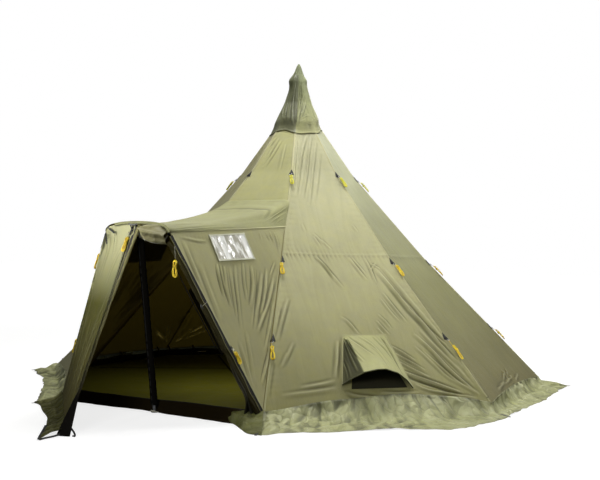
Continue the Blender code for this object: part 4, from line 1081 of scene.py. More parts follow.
# ---------------------------------------------------------------- rain cap
CAP_PROFILE = np.array([(2.860, 0.3170), (2.930, 0.2840), (3.000, 0.2540), (3.090, 0.2120), (3.192, 0.1640), (3.320, 0.1240),
                        (3.448, 0.0915), (3.560, 0.0520), (3.635, 0.0260), (3.668, 0.0090)])
CAP_STROKES = [
    ([(300.0, 77), (301.5, 92), (300.2, 108), (297.5, 131)], 0.013, 0.016),
    ([(302.6, 80), (303.0, 92), (302.0, 103), (300.5, 112)], 0.010, 0.009),
    ([(307.0, 101), (305.5, 110), (302.2, 121)], 0.010, 0.010),
    ([(304.2, 97), (302.0, 109), (299.5, 122), (299.0, 130)], 0.011, 0.009),
    ([(296.2, 84), (294.5, 100), (293.5, 120), (294.5, 130)], 0.014, 0.013),
    ([(291.0, 94), (288.5, 108), (287.0, 124)], 0.012, -0.010),
    ([(287.5, 100), (284.6, 112), (284.0, 122)], 0.012, 0.012),
    ([(283.0, 112), (279.0, 122), (275.5, 131)], 0.011, 0.010),
    ([(303.0, 122), (308.7, 119), (313.4, 120)], 0.007, 0.005),
    ([(306.5, 114.8), (310.6, 115.2)], 0.006, 0.005),
    ([(306.0, 125.4), (310.6, 127.4), (315.0, 126.4)], 0.007, 0.004),
    ([(300.5, 127), (304.0, 124.5), (307.0, 123.8)], 0.007, 0.004),
    ([(311.5, 108), (314.5, 117), (318.5, 126)], 0.010, -0.005),
]
CAM_AZ = 27.3


def cap_radius(z):
    return np.interp(z, CAP_PROFILE[:, 0], CAP_PROFILE[:, 1])


def cap_uv(pts):
    """Drawn positions on the cap, turned to (arc, height)."""
    out = []
    for x, y in pts:
        z = 3.669 - (y - 64) / 85.8
        r = float(cap_radius(z))
        rel = math.asin(max(-0.98, min(0.98, (x - 299) / 85.8 / r)))
        out.append((rel * 0.2, z))
    return out


def rain_cap():
    nt, nv = 176, 110
    rel = np.linspace(-math.pi, math.pi, nt, endpoint=False)[None, :]
    t = np.linspace(0, 1, nv)[:, None]
    deg = np.degrees(rel)
    z_low = 2.862 + 0.030 * np.exp(-((deg + 30) / 22) ** 2) + 0.034 * smooth01((deg - 45) / 40) * smooth01((150 - deg) / 40)
    z_low = z_low - (0.044 + 0.022 * np.exp(-(deg / 25) ** 2)) * (1 - 0.72 * smooth01((deg - 30) / 60) * smooth01((170 - deg) / 60))
    z_low = z_low + 0.006 * fbm(deg / 25, deg * 0, 4, 2)
    z = z_low + (3.666 - z_low) * t
    r = cap_radius(z)
    # the hem lies on the cone
    ko = np.mod(math.radians(CAM_AZ) + rel, math.pi / 4)
    ko = np.where(ko > math.pi / 8, ko - math.pi / 4, ko)
    r_cone = apo(np.interp(z, _zed, _s)) / np.cos(ko) + 0.006
    w_ = smooth01((z - z_low) / 0.16)
    r = np.maximum(np.where(r_cone < r, r_cone * (1 - w_) + r * w_, r), r_cone)
    U = rel * 0.2 + 0 * z
    D = folds(U, z + 0 * U, [(cap_uv(p), w, a) for p, w, a in CAP_STROKES], 1.3) * np.clip((3.60 - z) / 0.2, 0.2, 1)
    # loose vertical pleats behind, creases everywhere
    back = smooth01((np.abs(deg) - 95) / 25)
    D = D + back * 0.012 * (np.sin(7 * rel + 2.5 * (z - 3)) * 0.6 + np.sin(13 * rel - 4 * (z - 3)) * 0.4) * np.clip((3.6 - z) / 0.5, 0, 1)
    D = D + 0.004 * fbm(rel * 3.2 + 1.5 * (z - 3), z * 3.2, 7, 3) + 0.0022 * ridged(rel * 6, z * 9, 8, 3) * np.clip((3.62 - z) / 0.3, 0, 1)
    # bunched lump left of the tip and a small one at the right
    D = D + 0.030 * np.exp(-(((deg + 72) / 42) ** 2 + ((z - 3.470) / 0.060) ** 2))
    D = D + 0.016 * np.exp(-(((deg - 78) / 30) ** 2 + ((z - 3.475) / 0.035) ** 2))
    r = r + D * np.clip(r / 0.05, 0.2, 1) * (0.15 + 0.85 * smooth01((z - z_low) / 0.06))
    r = np.maximum(r, r_cone - 0.002)
    az = math.radians(CAM_AZ) + rel
    P = np.stack([r * np.sin(az), -r * np.cos(az), z + 0 * rel], -1)
    uv = np.stack([rel * 0.2 + 0 * z, z + 0 * rel], -1)
    # painted shade in the creases and darker towards the tip; the two negative terms paint a pale streak and a pale
    # patch on the left as painted highlight
    painted_shading = crease(D, 3, 0.006) + 0.30 * np.clip((z - 3.50) / 0.10, 0, 1) - 0.9 * np.exp(-((deg + 62) / 9) ** 2) * smooth01((3.40 - z) / 0.2) \
        - 0.5 * np.exp(-((deg + 70) / 14) ** 2 - ((z - 2.93) / 0.06) ** 2)
    ob = sheet_from("cap_cloth", P, MAT["cap_green"], uv, wrap=True, painted_shading=painted_shading)
    ob.data.materials.append(MAT["cap_grey"])
    degc = (deg[0] + 360 / nt / 2)
    split = 2.0 - 6.0 * (1 - t[:-1, 0])
    left = (degc[None, :] < split[:, None]) & (degc[None, :] > -176) & (z[:-1] < 3.535 + 0.02 * np.sin(deg / 9))
    ob.data.polygons.foreach_set("material_index", left.astype(np.int32).ravel())
    ob.data.update()
    cloth_piece(ob, ROOT, ["cap"], (1.0, 0.85), min(area_of(P) * 0.95, 0.84))
    # bound hem
    rows = []
    for dz, dr in ((-0.001, -0.0035), (-0.001, 0.0012), (0.006, 0.0014), (0.007, 0.0004)):
        rr = r[0] + dr
        rows.append(np.stack([rr * np.sin(az[0]), -rr * np.cos(az[0]), z[0] + dz], -1))
    ob = sheet_from("cap_hem", np.array(rows), MAT["edge"], np.array([np.stack([rel[0] * 0.3, rel[0] * 0 + k * 0.003], -1) for k in range(4)]),
                    wrap=True)
    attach(ob, ROOT)


rain_cap()

# ---------------------------------------------------------------- porch roof
ROOF_FRONT = [(-0.336, 1.566), (-0.331, 1.588), (-0.312, 1.608), (-0.270, 1.629), (-0.150, 1.647), (0.0, 1.653), (0.150, 1.647),
              (0.270, 1.629), (0.312, 1.608), (0.331, 1.588), (0.336, 1.566)]


def porch_roof():
    nj, ni = 150, 170
    f = spline([(x, 0, z) for x, z in ROOF_FRONT], nj)
    yb, xb = -ROOF_R * COS, ROOF_R * SIN
    e = B
    back = [(-e[0], e[1], e[2] + 0.004), (-e[0] * 0.955, e[1] + 0.055, e[2] + 0.068), (-e[0] * 0.91, e[1] + 0.110, e[2] + 0.136),
            (-xb, yb, ROOF_Z - 0.008), (-xb * 0.5, yb, ROOF_Z + 0.004), (0.0, yb, ROOF_Z + 0.006), (xb * 0.5, yb, ROOF_Z + 0.004),
            (xb, yb, ROOF_Z - 0.008), (e[0] * 0.91, e[1] + 0.110, e[2] + 0.136), (e[0] * 0.955, e[1] + 0.055, e[2] + 0.068),
            (e[0], e[1], e[2] + 0.004)]
    g = spline(back, nj)
    t = np.linspace(0, 1, ni)[:, None, None]
    F = np.stack([f[:, 0], 0 * f[:, 0] - 2.948, f[:, 2]], -1)[None]
    G = g[None]
    P = F * (1 - t) + G * t
    j = np.linspace(-1, 1, nj)[None, :]
    tt = t[..., 0]
    sag = 0.078 * 4 * tt * (1 - tt) * (1 - np.abs(j) ** 3)
    P[..., 2] -= sag
    # flares up into the cone at the back
    P[..., 2] += 0.030 * np.clip((tt - 0.80) / 0.20, 0, 1) ** 2 * (1 - np.abs(j) ** 4)
    P[..., 2] += 0.010 * np.exp(-((tt - 0.0) / 0.03) ** 2)
    Nn = grid_normals(P)
    Nn = np.where(Nn[..., 2:3] < 0, -Nn, Nn)
    x = P[..., 0]
    y = P[..., 1]
    D = 0.006 * fbm(x * 2.5, y * 1.4, 61, 3) + 0.0022 * fbm(x * 9, y * 4, 62, 3)
    # folds fan from the bow corners and from the back corner beside the ridge
    R = []
    for s in (-1, 1):
        R += [([(0.02, s * 0.92), (0.25, s * 0.80), (0.50, s * 0.74)], 0.030, 0.006),
              ([(0.02, s * 0.97), (0.30, s * 0.90), (0.62, s * 0.92)], 0.026, 0.006),
              ([(0.01, s * 0.80), (0.12, s * 0.66), (0.30, s * 0.52)], 0.030, 0.005),
              ([(0.99, s * 0.62), (0.90, s * 0.70), (0.80, s * 0.80)], 0.020, 0.006),
              ([(0.985, s * 0.74), (0.90, s * 0.80), (0.84, s * 0.87)], 0.018, 0.006),
              ([(0.985, s * 0.84), (0.925, s * 0.87), (0.89, s * 0.93)], 0.014, 0.005)]
    R += [([(0.84, -0.55), (0.86, 0.0), (0.83, 0.55), (0.78, 0.80)], 0.035, -0.010)]
    D = D + folds(tt + 0 * j, j + 0 * tt, R)
    D = D * np.clip((1 - np.abs(j)) / 0.04, 0, 1) * np.clip(tt / 0.02, 0, 1) * np.clip((1 - tt) / 0.02, 0, 1)
    P = P + Nn * D[..., None]
    uv = np.stack([x, y], -1)
    # painted shade in the furrows of the roof and painted highlight on its crests
    ob = sheet_from("porch_roof_cloth", P, MAT["roof"], uv, inner=MAT["inside"], out=(0, 0, 1.0), painted_shading=crease(D, 4, 0.006))
    cloth_piece(ob, ROOT, ["porch_roof"], (1.80, 1.45), min(area_of(P), 2.6))
    # bound front edge over the bow
    line = P[0][P[0][:, 0] > -0.235]
    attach(ribbon("roof_edge_band", line + np.array([0, -0.002, -0.0125]), 0.027, np.array([0, -1.0, 0.0]), MAT["roof"]), ROOT)
    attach(ribbon("roof_edge_stitch", line + np.array([0, -0.0035, -0.0225]), 0.003, np.array([0, -1.0, 0.0]), MAT["binding"]), ROOT)
    return P


ROOF_P = porch_roof()

# ---------------------------------------------------------------- porch side walls and windows
WN = unit(np.cross(B - A, C - A))
if WN[0] < 0:
    WN = -WN
E2 = np.cross(WN, E1)
if E2[2] > 0:
    E2 = -E2
C2 = np.array([(C - A) @ E1, (C - A) @ E2])
EAVE = float(np.linalg.norm(B - A))
WIN2 = np.array([(0.498, 0.052), (1.024, 0.052), (1.028, 0.309), (0.498, 0.294)])
STROKES_WALL = [
    ([(0.463, 0.323), (0.42, 0.435), (0.379, 0.626)], 0.022, 0.009), ([(0.507, 0.329), (0.46, 0.479), (0.419, 0.664)], 0.020, 0.007),
    ([(0.549, 0.345), (0.471, 0.537), (0.417, 0.727)], 0.022, 0.010), ([(0.626, 0.376), (0.543, 0.582), (0.444, 0.835)], 0.022, 0.007),
    ([(0.721, 0.344), (0.599, 0.587), (0.434, 0.946)], 0.024, 0.007), ([(0.845, 0.332), (0.747, 0.53), (0.685, 0.693)], 0.020, 0.008),
    ([(0.953, 0.374), (0.861, 0.563), (0.703, 0.761)], 0.026, 0.012), ([(1.014, 0.405), (0.892, 0.616), (0.599, 0.969)], 0.024, -0.007),
    ([(1.073, 0.453), (0.938, 0.621), (0.722, 0.852)], 0.028, 0.010), ([(1.181, 0.417), (1.015, 0.628), (0.727, 0.939)], 0.026, 0.010),
    ([(1.232, 0.52), (1.005, 0.727), (0.775, 0.902), (0.664, 0.988)], 0.026, 0.013), ([(0.769, 1.137), (0.55, 1.323), (0.42, 1.436)], 0.022, 0.010),
    ([(1.091, 0.737), (0.829, 1.001), (0.655, 1.166)], 0.022, 0.008), ([(0.502, 0.955), (0.408, 1.217), (0.33, 1.427)], 0.030, 0.006),
    ([(0.354, 1.026), (0.303, 1.288), (0.268, 1.477)], 0.030, 0.006), ([(1.384, 0.024), (1.409, 0.144)], 0.016, 0.006),
    ([(1.463, 0.038), (1.463, 0.168)], 0.016, 0.006), ([(1.533, 0.04), (1.523, 0.16), (1.485, 0.267)], 0.016, 0.006),
    ([(1.283, 0.021), (1.28, 0.128)], 0.016, 0.004), ([(1.346, 0.366), (1.191, 0.49)], 0.016, 0.006),
    ([(0.125, 0.079), (0.13, 0.284), (0.14, 0.524)], 0.030, 0.006), ([(0.081, 0.04), (0.296, 0.087), (0.44, 0.102)], 0.020, 0.004),
    ([(0.234, 0.291), (0.22, 0.55), (0.222, 0.825)], 0.040, 0.005),
]


def mirror(P):
    return P * np.array([-1.0, 1, 1])


def in_window(x, y, grow=0.0):
    inside = np.ones(x.shape, bool)
    c = WIN2.mean(0)
    for i in range(4):
        p, q = WIN2[i], WIN2[(i + 1) % 4]
        d = (q - p) / np.linalg.norm(q - p)
        n = np.array([-d[1], d[0]])
        if n @ (c - p) < 0:
            n = -n
        inside &= ((x - p[0]) * n[0] + (y - p[1]) * n[1]) > -grow
    return inside


def wall_height(x, y, seed):
    D = -0.010 * np.sin(np.pi * np.clip(x / EAVE, 0, 1)) * np.sin(np.pi * np.clip(y / 1.66, 0, 1)) ** 0.7
    D = D + 0.006 * fbm(x * 2.0, y * 1.1, seed, 3) + 0.002 * fbm(x * 10, y * 3, seed + 1, 3)
    D = D + folds(x, y, STROKES_WALL, 1.7)
    pk = np.sin(x * 2 * np.pi / 0.05 + 3 * fbm(x * 7, 0 * x, seed + 2, 2))
    D = D + 0.0022 * pk * np.exp(-y / 0.05)
    return D


def porch_wall(side):
    nu, nv = 190, 190
    u = np.linspace(0, 1, nu)[None, :]
    v = np.linspace(0, 1, nv)[:, None]
    x = (u * EAVE) * (1 - v) + C2[0] * v
    y = C2[1] * v + 0 * u
    D = wall_height(x, y, 71 if side > 0 else 75)
    edge = np.minimum(np.minimum(u, 1 - u) * 12 * (1 - v) * EAVE / 0.6, v * 16)
    D = D * smooth01(np.clip(edge, 0, 1))
    win = np.exp(-np.clip(np.maximum(np.maximum(WIN2[0, 0] - x, x - WIN2[1, 0]), np.maximum(WIN2[0, 1] - y, y - 0.30)), 0, 1) / 0.02)
    D = D * (1 - 0.85 * win)
    P = A + E1 * x[..., None] + E2 * y[..., None] + WN * D[..., None]
    xc, yc = (x[:-1, :-1] + x[1:, 1:]) / 2, (y[:-1, :-1] + y[1:, 1:]) / 2
    mask = ~in_window(xc, yc, -0.010)
    if side < 0:
        P = mirror(P)
    # painted shade in the furrows of the wall and painted highlight on its crests
    ob = sheet_from("porch_wall_cloth_" + ("right" if side > 0 else "left"), P, MAT["porch"], np.stack([x, y], -1), mask,
                    inner=MAT["inside"], out=WN * np.array([side, 1, 1]), painted_shading=crease(D, 4, 0.0055))
    cloth_piece(ob, ROOT, ["porch_wall_" + ("right" if side > 0 else "left")], (1.90, 1.70), mask_area(P, mask))
    # film: loose sheet with buckles
    n = 54
    a = np.linspace(0, 1, n)[None, :, None]
    b = np.linspace(0, 1, 34)[:, None, None]
    W = WIN2[None, None]
    Q = (W[..., 0, :] * (1 - a) + W[..., 1, :] * a) * (1 - b) + (W[..., 3, :] * (1 - a) + W[..., 2, :] * a) * b
    qx, qy = Q[..., 0], Q[..., 1]
    inner = np.clip(np.minimum(np.minimum(a, 1 - a), np.minimum(b, 1 - b))[..., 0] * 9, 0, 1)
    d = 0.0045 * inner * (ridged(qx * 5 + qy * 5, qy * 4 - qx * 7, 81, 3) * 0.8 + fbm(qx * 9, qy * 9, 82, 3))
    FP = A + E1 * qx[..., None] + E2 * qy[..., None] + WN * (0.002 + d)[..., None]
    if side < 0:
        FP = mirror(FP)
    ob = sheet_from("window_film_" + ("right" if side > 0 else "left"), FP, MAT["film"], np.stack([qx, qy], -1), flip=side > 0)
    cloth_piece(ob, ROOT, ["window_" + ("right" if side > 0 else "left")], (0.55, 0.29), min(area_of(FP), 0.1590))
    if side < 0:
        # this window's inside cover is down
        a2, b2 = np.linspace(-0.06, 1.06, 40)[None, :, None], np.linspace(-0.08, 1.12, 30)[:, None, None]
        Q = (W[..., 0, :] * (1 - a2) + W[..., 1, :] * a2) * (1 - b2) + (W[..., 3, :] * (1 - a2) + W[..., 2, :] * a2) * b2
        d2 = 0.022 + 0.004 * fbm(Q[..., 0] * 4, Q[..., 1] * 3, 84, 3)
        CP = mirror(A + E1 * Q[..., :1] + E2 * Q[..., 1:] - WN * d2[..., None])
        ob = sheet_from("window_cover_left", CP, MAT["under"], Q, inner=MAT["inside"], out=WN * np.array([-1.0, 1, 1]))
        cloth_piece(ob, ROOT, (), (0.62, 0.36), min(area_of(CP), 0.22))
    # stitched border
    obs = []
    for i in range(4):
        p, q = WIN2[i], WIN2[(i + 1) % 4]
        d2 = (q - p) / np.linalg.norm(q - p)
        s = np.linspace(-0.010, np.linalg.norm(q - p) + 0.010, 26)
        pts2 = p + d2 * s[:, None]
        L3 = A + E1 * pts2[:, :1] + E2 * pts2[:, 1:] + WN * (0.0045 + 0.0008 * np.sin(s * 90 + i))[:, None]
        nn = np.broadcast_to(WN, L3.shape)
        if side < 0:
            L3, nn = mirror(L3), mirror(nn)
        obs.append(ribbon("b%d" % i, L3, 0.015, nn, MAT["border"], lift=0.0004 * i))
    ob = join("window_border_" + ("right" if side > 0 else "left"), obs)
    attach(ob, ROOT)
    # eave seam
    s = np.linspace(0.0, EAVE, 60)
    L3 = A + E1 * s[:, None] + WN * 0.003 + np.array([0, 0, 0.001])
    nn = np.broadcast_to(unit(WN + np.array([0, 0, 0.6])), L3.shape)
    if side < 0:
        L3, nn = mirror(L3), mirror(nn)
    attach(ribbon("eave_seam_" + ("right" if side > 0 else "left"), L3, 0.012, nn, MAT["ridge"]), ROOT)


for s_ in (1, -1):
    porch_wall(s_)

# inside the porch a dark tape covers the seam where each porch wall meets the cone
for side in (1, -1):
    s_ = np.linspace(0.03, 0.985, 70)[:, None]
    L3 = B * (1 - s_) + C * s_ + np.array([-0.012, -0.006, 0.0])
    nn = np.broadcast_to(unit(np.array([-0.5, -1.0, 0.3])), L3.shape)
    if side < 0:
        L3, nn = mirror(L3), mirror(nn)
    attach(ribbon("porch_inner_tape_" + ("right" if side > 0 else "left"), L3, 0.030, nn, MAT["inside"]), ROOT)

# ---------------------------------------------------------------- left door leaf
TL, LL, HH, TT = DOOR_TOP, DOOR_SHOULDER, DOOR_HEEL, DOOR_TOE


def door_pt(u, v):
    u, v = np.asarray(u, float)[..., None], np.asarray(v, float)[..., None]
    return (LL * (1 - u) + TL * u) * (1 - v) + (HH * (1 - u) + TT * u) * v


def door_normal(u, v):
    e = 0.01
    n = unit(np.cross(door_pt(u + e, v) - door_pt(u - e, v), door_pt(u, v + e) - door_pt(u, v - e)))
    return np.where(n[..., 1:2] > 0, -n, n)


def door_left():
    nu, nv = 120, 220
    u = np.linspace(0, 1, nu)[None, :] + 0 * np.zeros((nv, 1))
    v = np.linspace(0, 1, nv)[:, None] + 0 * u
    # the hem hangs a little lower in the middle
    vv = v * (1 + 0.018 * np.sin(np.pi * u))
    P = door_pt(u, vv)
    Nn = door_normal(u, vv)
    fx = spline(ROOF_FRONT, 200)
    z_arc = np.interp(P[0, :, 0], fx[:, 0], fx[:, 1]) - 0.004
    rise = np.maximum(z_arc - P[0, :, 2], 0)[None, :]
    P[..., 2] += rise * np.clip(1 - v / 0.10, 0, 1) ** 1.5
    w = np.linalg.norm(door_pt(1, v[:, 0]) - door_pt(0, v[:, 0]), axis=-1)[:, None]
    x, y = u * w, v * 1.68
    D = -0.020 * np.sin(np.pi * u) * np.sin(np.pi * np.clip(v, 0, 1)) ** 0.8
    D = D + 0.012 * fbm(x * 1.1, y * 0.7, 91, 2) + 0.0010 * fbm(x * 5, y * 3, 92, 3)
    S_ = [([(0.03, 0.02), (0.10, 0.18), (0.12, 0.45)], 0.018, 0.007), ([(0.05, 0.0), (0.16, 0.10), (0.24, 0.28)], 0.018, 0.006),
          ([(0.33, 0.02), (0.30, 0.25), (0.33, 0.55)], 0.020, 0.006), ([(0.10, 0.60), (0.16, 0.90), (0.28, 1.20)], 0.035, 0.009),
          ([(0.05, 0.85), (0.14, 1.15), (0.32, 1.45)], 0.035, 0.010), ([(0.50, 0.55), (0.60, 0.95), (0.80, 1.35)], 0.035, 0.009),
          ([(0.30, 0.75), (0.50, 1.15), (0.80, 1.60)], 0.040, -0.009), ([(0.62, 0.70), (0.84, 1.18), (1.15, 1.60)], 0.030, 0.008),
          ([(0.10, 1.10), (0.20, 1.35), (0.45, 1.62)], 0.030, 0.009), ([(0.75, 1.00), (0.98, 1.35), (1.30, 1.66)], 0.026, 0.008),
          ([(0.06, 0.42), (0.02, 0.52), (0.09, 0.62)], 0.014, 0.005)]
    D = D + folds(x, y, S_)
    edge = smooth01(np.clip(np.minimum(u, 1 - u) * w / 0.05, 0, 1)) * smooth01(np.clip(v / 0.03, 0, 1))
    D = D * (0.12 + 0.88 * edge)
    P = P + Nn * D[..., None]
    P[..., 2] = np.maximum(P[..., 2], 0.006)
    # painted shade in the furrows of the leaf and painted highlight on its crests
    ob = sheet_from("door_left_cloth", P, MAT["door"], np.stack([x, y], -1), inner=MAT["inside"], out=Nn, painted_shading=crease(D, 4, 0.008, 0.5))
    cloth_piece(ob, "door_leaf", ["door_left"], (1.75, 1.60), area_of(P))
    # storm flap beyond the zip: a doubled strip along the zip edge
    m = 90
    v1 = np.linspace(0.004, 0.90, m)
    E = door_pt(1 + 0 * v1, v1)
    Nz = door_normal(1 + 0 * v1, v1)
    out = unit(door_pt(1.0 + 0 * v1, v1) - door_pt(0.9 + 0 * v1, v1))
    wid = 0.014 + 0.022 * (1 - v1) ** 1.6 + 0.003 * np.sin(9 * v1 * 3)
    cols = []
    for k, (a_, b_) in enumerate(((0.016, 0.004), (0.030, 0.010), (0.6, 0.008), (0.92, 0.002), (1.0, -0.006))):
        off = a_ if k < 2 else a_ * wid + 0.016
        off = np.broadcast_to(off, v1.shape) if np.ndim(off) == 0 else off
        cols.append(E + out * off[:, None] + Nz * (b_ + 0.002 * np.sin(v1 * 40 + k))[:, None])
    SP = np.stack(cols, 1)
    ob = sheet_from("door_storm_flap", SP, MAT["flap"], np.stack([np.broadcast_to(np.linspace(0, 0.08, 5), (m, 5)),
                                                                    np.broadcast_to(v1[:, None] * 1.9, (m, 5))], -1), flip=True)
    cloth_piece(ob, "door_leaf", (), (1.70, 0.08), area_of(SP))
    # zip tape and teeth on the leaf's edge
    vz = np.linspace(0.002, 0.985, 120)
    E = door_pt(1 + 0 * vz, vz)
    Nz = door_normal(1 + 0 * vz, vz)
    obz = ribbon("zip_tape_left", E + np.array([0.004, 0, 0]), 0.036, Nz, MAT["zip"], lift=0.0025)
    teeth = tube_mesh("zip_teeth_left", E + np.array([0.0115, 0, 0]) + Nz * 0.003, 0.0024, MAT["dark_rod"], 6)
    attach(join("zip_left", [obz, teeth]), "door_leaf")
    # piping along the leaf edge inside the zip, and a second dark seam
    for nm, du, wd, mt in (("door_seam_a", 0.040, 0.016, MAT["edge_black"]), ("door_seam_b", 0.064, 0.006, MAT["binding"])):
        ww = np.linalg.norm(door_pt(1 + 0 * vz, vz) - door_pt(0 * vz, vz), axis=-1)
        Q = door_pt(1 - du / ww, vz)
        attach(ribbon(nm, Q, wd, Nz, mt, lift=0.0035), "door_leaf")
    # leg seam
    Q = door_pt(0 * vz + 0.008, vz)
    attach(ribbon("door_leg_seam", Q, 0.016, door_normal(0 * vz, vz), MAT["ridge"], lift=0.003), "door_leaf")
    # black fold of the zip flap that stands off the foot of the leaf
    n1, n2 = 60, 16
    a = np.linspace(0, 1, n1)[:, None]
    b = np.linspace(0, 1, n2)[None, :]
    top_ = door_pt(1.0, 0.83).reshape(3) + np.array([0.010, -0.006, 0.0])
    foot = np.array([0.100, -3.800, 0.004])
    Rr = top_ * (1 - a[..., None]) + foot * a[..., None]
    wg = 0.012 + 0.104 * a ** 0.9
    out_d = unit(np.array([-0.975, -0.22, 0.0]))
    G = Rr + out_d * (wg * b)[..., None] + np.array([0.30, -0.95, 0.1]) * (0.014 * np.sin(np.pi * b) * a ** 0.7
                                                                           + 0.006 * fbm(b * 3, a * 6, 95, 2) * np.sin(np.pi * b))[..., None]
    G[..., 2] = np.maximum(G[..., 2], 0.004)
    ob = sheet_from("door_foot_fold", G, MAT["sleeve"], np.stack([b * 0.1 + 0 * a, a * 0.4 + 0 * b], -1), inner=MAT["sleeve"], out=(0.3, -0.95, 0.1))
    cloth_piece(ob, "door_leaf", (), (0.42, 0.116), min(area_of(G), 0.048))


door_left()

# ---------------------------------------------------------------- skirt of the left door and the tongue at the right leg
def strip_skirt(name, top, outp, mat, seed, m=30, nodes=(), body=ROOT, flat=(1.5, 0.7), touch=0.40, amp=1.0):
    n = len(top)
    s = np.linspace(0, 1, m)[:, None]
    along = np.concatenate([[0], np.cumsum(np.linalg.norm(np.diff(top, axis=0), axis=1))])[None, :]
    ztop = top[:, 2][None, :]
    zz = ztop * np.clip(1 - s / touch, 0, 1) ** 1.5 + 0.004 + (outp[:, 2][None, :] - 0.004) * s ** 2
    xy = top[None, :, :2] + (outp - top)[None, :, :2] * (0.12 * s + 0.88 * s ** 1.15)[:, :, None]
    P = np.concatenate([xy, zz[..., None]], -1)
    width = np.linalg.norm((outp - top)[:, :2], axis=1)[None, :]
    wf = np.sin(np.pi * np.clip(s * 0.92 + 0.08, 0, 1)) ** 0.8 * np.minimum(width / 0.15, 1)
    ph = along * 2 * np.pi / 0.17 + 3.0 * fbm(along * 1.5, s * 1.1 + seed, seed + 2, 3)
    facet = crumple(along, s * width, seed + 31)
    pleat = (0.5 + 0.5 * np.sin(ph)) ** 1.6
    pl2 = np.clip(ridged(along * 7 + s, s * 2.2, seed + 4, 3), -0.2, 1)
    lift = amp * (0.014 + 0.010 * pleat + 0.006 * pl2 + 0.042 * facet) * wf
    # painted shade and light: darker in the creases and paler on the crests, with a painted dark band of shadow along
    # the hem; the fbm term is random tone
    tn = np.clip(crease(0.012 * pleat + 0.045 * facet + 0.008 * pl2 + 0 * s, 3, 0.010, 0.7) + 0.35 * fbm(along * 2.3, s * 1.5, seed + 41, 2)
                 + 0.8 * np.exp(-s / 0.035), -0.9, 1.0)
    P[..., 2] += lift + amp * 0.010 * np.clip(fbm(along * 3, along * 0 + s * 0.3, seed + 7, 2), 0, 1) * s ** 3
    P[..., :2] += (amp * 0.010 * fbm(along * 6, s * 4, seed + 9, 2) * wf)[..., None] * unit((outp - top) * np.array([1, 1, 0]))[None, :, :2]
    P[..., 2] = np.maximum(P[..., 2], 0.0025)
    uv = np.stack([along + 0 * s, s * width], -1)
    ob = sheet_from(name, P, MAT[mat], uv, inner=MAT["skirt_under"], out=(0, 0, 1.0), thick=0.0010, painted_shading=tn)
    cloth_piece(ob, body, nodes, flat, min(area_of(P) * 0.97, flat[0] * flat[1]))
    return P


n_ = 150
hem_line = spline([HH + np.array([-0.004, -0.003, -0.006]), door_pt(0.25, 1.004), door_pt(0.5, 1.012), door_pt(0.75, 1.010), TT + np.array([0.02, -0.02, -0.02])], n_)
hem_line = hem_line + np.array([-0.727, -0.687, 0]) * 0.004
tipL = np.array([-1.190, -2.866, 0.004])
out_line = spline([tipL, (-1.137, -2.883, 0.004), (-1.020, -2.960, 0.006), (-0.842, -3.118, 0.005), (-0.646, -3.273, 0.004), (-0.520, -3.390, 0.010),
                   (-0.455, -3.464, 0.008), (-0.330, -3.600, 0.006), (-0.195, -3.771, 0.004), (-0.080, -3.920, 0.004), (-0.004, -4.014, 0.004)], n_)
DOOR_SKIRT = strip_skirt("skirt_door_left_cloth", hem_line, out_line, "skirt_left", 101, 34, ["skirt_door_left"], "door_leaf", (1.75, 0.42))
hem_line = spline([(0.700, -2.600, 0.040), (0.820, -2.604, 0.066), (0.950, -2.604, 0.084), (1.074, -2.594, 0.090)], 60)
out_line = spline([(0.720, -2.640, 0.004), (0.880, -2.740, 0.004), (1.050, -2.900, 0.004), (1.170, -3.004, 0.005), (1.290, -3.000, 0.003)], 60)
strip_skirt("skirt_porch_right_cloth", hem_line, out_line, "skirt_dark", 111, 26, ["skirt_porch_right"], ROOT, (0.60, 0.36), amp=1.3)

# left leg: a tape closes the joint between the porch wall and the leaf, and a strip joins the leaf's skirt to the next one
w_ = np.linspace(0.06, 0.985, 60)[:, None]
edge_wall = mirror(A + (C - A) * w_)
edge_leaf = LL * (1 - w_) + HH * w_
across = unit(edge_leaf - edge_wall)
mid_ = (edge_leaf + edge_wall) / 2 - across * 0.0055 + np.array([0.005, 0.002, 0.0])
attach(ribbon("leg_tape_left", mid_, 0.022, unit(np.cross(unit(HH - LL), across)), MAT["porch"], thick=0.0016), ROOT)
q_ = np.linspace(0, 1, 24)
ends = [np.stack([np.interp(q_, np.linspace(0, 1, len(e)), e[:, c]) for c in range(3)], -1) for e in (SKIRT_END, DOOR_SKIRT[:, 0])]
mid_ = (ends[0] + ends[1]) / 2 - np.array([0, 0, 0.003])
mid_[:, 2] = np.maximum(mid_[:, 2], 0.0022)
tan_ = unit(np.gradient(mid_, axis=0))
mid_, tan_ = mid_[3:], tan_[3:]
joint = ribbon("skirt_joint_left", mid_, 0.050, unit(np.cross(tan_, unit(np.array([-0.022, -0.030, -0.012])))), MAT["skirt"], thick=0.0010)
for v_ in joint.data.vertices:
    v_.co.z = max(v_.co.z, 0.0016)
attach(joint, ROOT)

# ---------------------------------------------------------------- rolled right leaf, its bunched top, the zip line on the right leg
LEGV = C - A
LEG_IN = unit(np.cross(LEGV, WN))
if LEG_IN[1] > 0:
    LEG_IN = -LEG_IN


def leg_pt(t, inward=0.0, out=0.0):
    t = np.asarray(t, float)[..., None]
    return A + LEGV * t + LEG_IN * inward + WN * out


